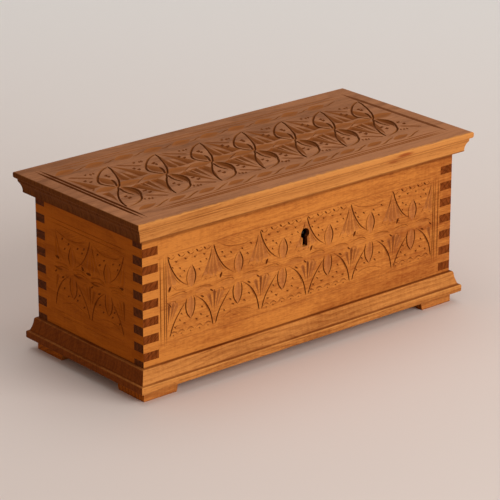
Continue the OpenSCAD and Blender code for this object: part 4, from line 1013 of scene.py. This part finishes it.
def screwPlaces(nodeName):
    # Middle of each head and the way it faces, from the loose parts of a CAD node
    shape = bmesh.new()
    shape.from_mesh(nodes[nodeName].data)
    bmesh.ops.remove_doubles(shape, verts=shape.verts, dist=samePlace)
    left = set(shape.verts)
    places = []
    while left:
        island, queue = [], [left.pop()]
        while queue:
            vert = queue.pop()
            island.append(vert.co.copy())
            near = [e.other_vert(vert) for e in vert.link_edges]
            queue += [p for p in near if p in left]
            left -= set(near)
        low = Vector(min(p[k] for p in island) for k in range(3))
        high = Vector(max(p[k] for p in island) for k in range(3))
        middle = (low + high) / 2
        axis = max(range(3), key=lambda k: high[k] - low[k])
        reach = {}
        for sign, end in ((-1, low), (1, high)):
            face = [p for p in island if abs(p[axis] - end[axis]) < 0.05 * mm]
            reach[sign] = max((p - middle).length for p in face)
        sign = max(reach, key=reach.get)
        middle[axis] = (high if sign > 0 else low)[axis]
        outward = Vector((0, 0, 0))
        outward[axis] = sign
        places.append((middle, outward))
    shape.free()
    places.sort(key=lambda place: [round(c, 5) for c in place[0]])
    return places


screwNodes, screwInputs = screwTree()
for nodeName, (pieceName, kind, material, slotName, seed) in screwSets.items():
    places = screwPlaces(nodeName)
    points = bpy.data.meshes.new(pieceName + "Places")
    points.from_pydata([place for place, outward in places], [], [])
    towards = points.attributes.new("outward", "FLOAT_VECTOR", "POINT")
    for k, (place, outward) in enumerate(places):
        towards.data[k].vector = outward
    piece = addObject(pieceName, points)
    modifier = piece.modifiers.new("screws", "NODES")
    modifier.node_group = screwNodes
    for name, value in zip(screwInputNames, screwSizes[kind]):
        modifier[screwInputs[name]] = value
    modifier[screwInputs["Seed"]] = seed
    modifier[screwInputs["Material"]] = material
    evaluated = piece.evaluated_get(bpy.context.evaluated_depsgraph_get())
    mesh = bpy.data.meshes.new_from_object(evaluated)
    mesh.name = pieceName
    piece.modifiers.clear()
    piece.data = mesh
    mesh.materials.clear()  # drops the empty slot that the bare points bring
    mesh.materials.append(material)
    for f in mesh.polygons:
        f.material_index = 0
    mesh.set_sharp_from_angle(angle=creaseAngle)
    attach(piece, nodeBody[nodeName])
    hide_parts(nodeName)
    print(pieceName, len(places), "screws,", len(mesh.polygons), "faces")
print("screws made")


# Finishes of the CAD nodes that stay as they are
nodeFinishes = {
    "base_board": baseWood,
    "front_left_foot": footWood, "front_right_foot": footWood, "back_left_foot": footWood,
    "back_right_foot": footWood,
    "left_hinge_box_leaf": brass, "left_hinge_lid_leaf": brass, "left_hinge_pin": brass,
    "right_hinge_box_leaf": brass, "right_hinge_lid_leaf": brass, "right_hinge_pin": brass,
    # The lock's steel inside is darkened as painted shade in the keyhole
    "lock_plate": brass, "lock_cap": keyholeShadeSteel, "lid_strike_plate": brass,
    "lock_bolt": keyholeShadeSteel, "lock_spring": keyholeShadeSteel, "lock_key_pin": keyholeShadeSteel,
    "lock_pillars": keyholeShadeSteel,
}
for name, material in nodeFinishes.items():
    mesh = nodes[name].data
    mesh.materials.clear()
    mesh.materials.append(material)
print("finishes given")


# Floor and wall in one sweep, camera and lights
photoView = {"azimuth": -40.01, "elevation": 20.675, "place": (-1.0232, -1.2205, 0.6535), "lens": 187.24}
stageLook = {"halfWidth": 4.0, "front": -3.0, "wallAt": 2.7, "bend": 1.2, "wallHeight": 3.4,
             "floor": tone(221, 207, 199), "far": tone(248, 245, 242), "paintedLightFade": (0.15, 0.9)}


def makeSweep():
    s = stageLook
    profile = [(s["front"], 0.0), (s["wallAt"] - s["bend"], 0.0)]
    for k in range(1, 25):
        a = math.pi / 2 * k / 24
        profile.append((s["wallAt"] - s["bend"] + s["bend"] * math.sin(a), s["bend"] * (1 - math.cos(a))))
    profile.append((s["wallAt"], s["wallHeight"]))
    turn = Matrix.Rotation(math.radians(photoView["azimuth"]), 3, "Z")
    verts = [turn @ Vector((x, y, z)) for y, z in profile for x in (-s["halfWidth"], s["halfWidth"])]
    faces = [(2 * i, 2 * i + 1, 2 * i + 3, 2 * i + 2) for i in range(len(profile) - 1)]
    mesh = bpy.data.meshes.new("sweep")
    mesh.from_pydata(verts, [], faces)
    mesh.shade_smooth()
    sweep = addObject("sweep", mesh)
    material, tree = emptyMaterial("palePaper")
    place = addNode(tree, "ShaderNodeTexCoord").outputs["Object"]
    turned = addNode(tree, "ShaderNodeVectorRotate",
                     {"Vector": place, "Axis": (0, 0, 1), "Angle": -math.radians(photoView["azimuth"])},
                     rotation_type="AXIS_ANGLE").outputs[0]
    behind = addNode(tree, "ShaderNodeSeparateXYZ", {0: turned}).outputs[1]
    # Painted light: the sweep grows paler with the distance behind the box
    colour = mixed(tree, ramped(tree, behind, s["paintedLightFade"][0], s["paintedLightFade"][1], False), s["floor"], s["far"])
    shader = addNode(tree, "ShaderNodeBsdfPrincipled", {"Base Color": colour, "Roughness": 0.7})
    addNode(tree, "ShaderNodeOutputMaterial", {"Surface": shader.outputs[0]})
    mesh.materials.append(material)


def makeCamera():
    data = bpy.data.cameras.new("camera")
    data.sensor_width = 36
    data.lens = photoView["lens"]
    data.clip_end = 20
    camera = addObject("camera", data)
    a, e = math.radians(photoView["azimuth"]), math.radians(photoView["elevation"])
    back = Vector((math.sin(a) * math.cos(e), -math.cos(a) * math.cos(e), math.sin(e)))
    camera.rotation_euler = (-back).to_track_quat("-Z", "Y").to_euler()
    camera.location = photoView["place"]
    bpy.context.scene.camera = camera


roomLook = {"colour": (1.0, 0.94, 0.88, 1), "strength": 0.36}
lampLook = {
    "window": {"towards": (0.28, -0.9, 0.4), "distance": 1.7, "size": 1.3, "power": 22,
               "colour": (1, 0.98, 0.96)},
    "sky": {"towards": (0.1, 0.1, 1.0), "distance": 1.8, "size": 1.8, "power": 12,
            "colour": (0.98, 0.98, 1)},
}


def makeLamps():
    middle = (cadBox[0] + cadBox[1]) / 2
    for name, look in lampLook.items():
        data = bpy.data.lights.new(name, "AREA")
        data.size = look["size"]
        data.energy = look["power"]
        data.color = look["colour"]
        lamp = addObject(name, data)
        towards = Vector(look["towards"]).normalized()
        lamp.location = middle + towards * look["distance"]
        lamp.rotation_euler = towards.to_track_quat("Z", "Y").to_euler()
    world = bpy.data.worlds.new("room")
    bpy.context.scene.world = world
    world.use_nodes = True
    background = world.node_tree.nodes["Background"]
    background.inputs["Color"].default_value = roomLook["colour"]
    background.inputs["Strength"].default_value = roomLook["strength"]


makeSweep()
makeCamera()
makeLamps()
bpy.context.scene.view_settings.view_transform = "Standard"
print("stage set")
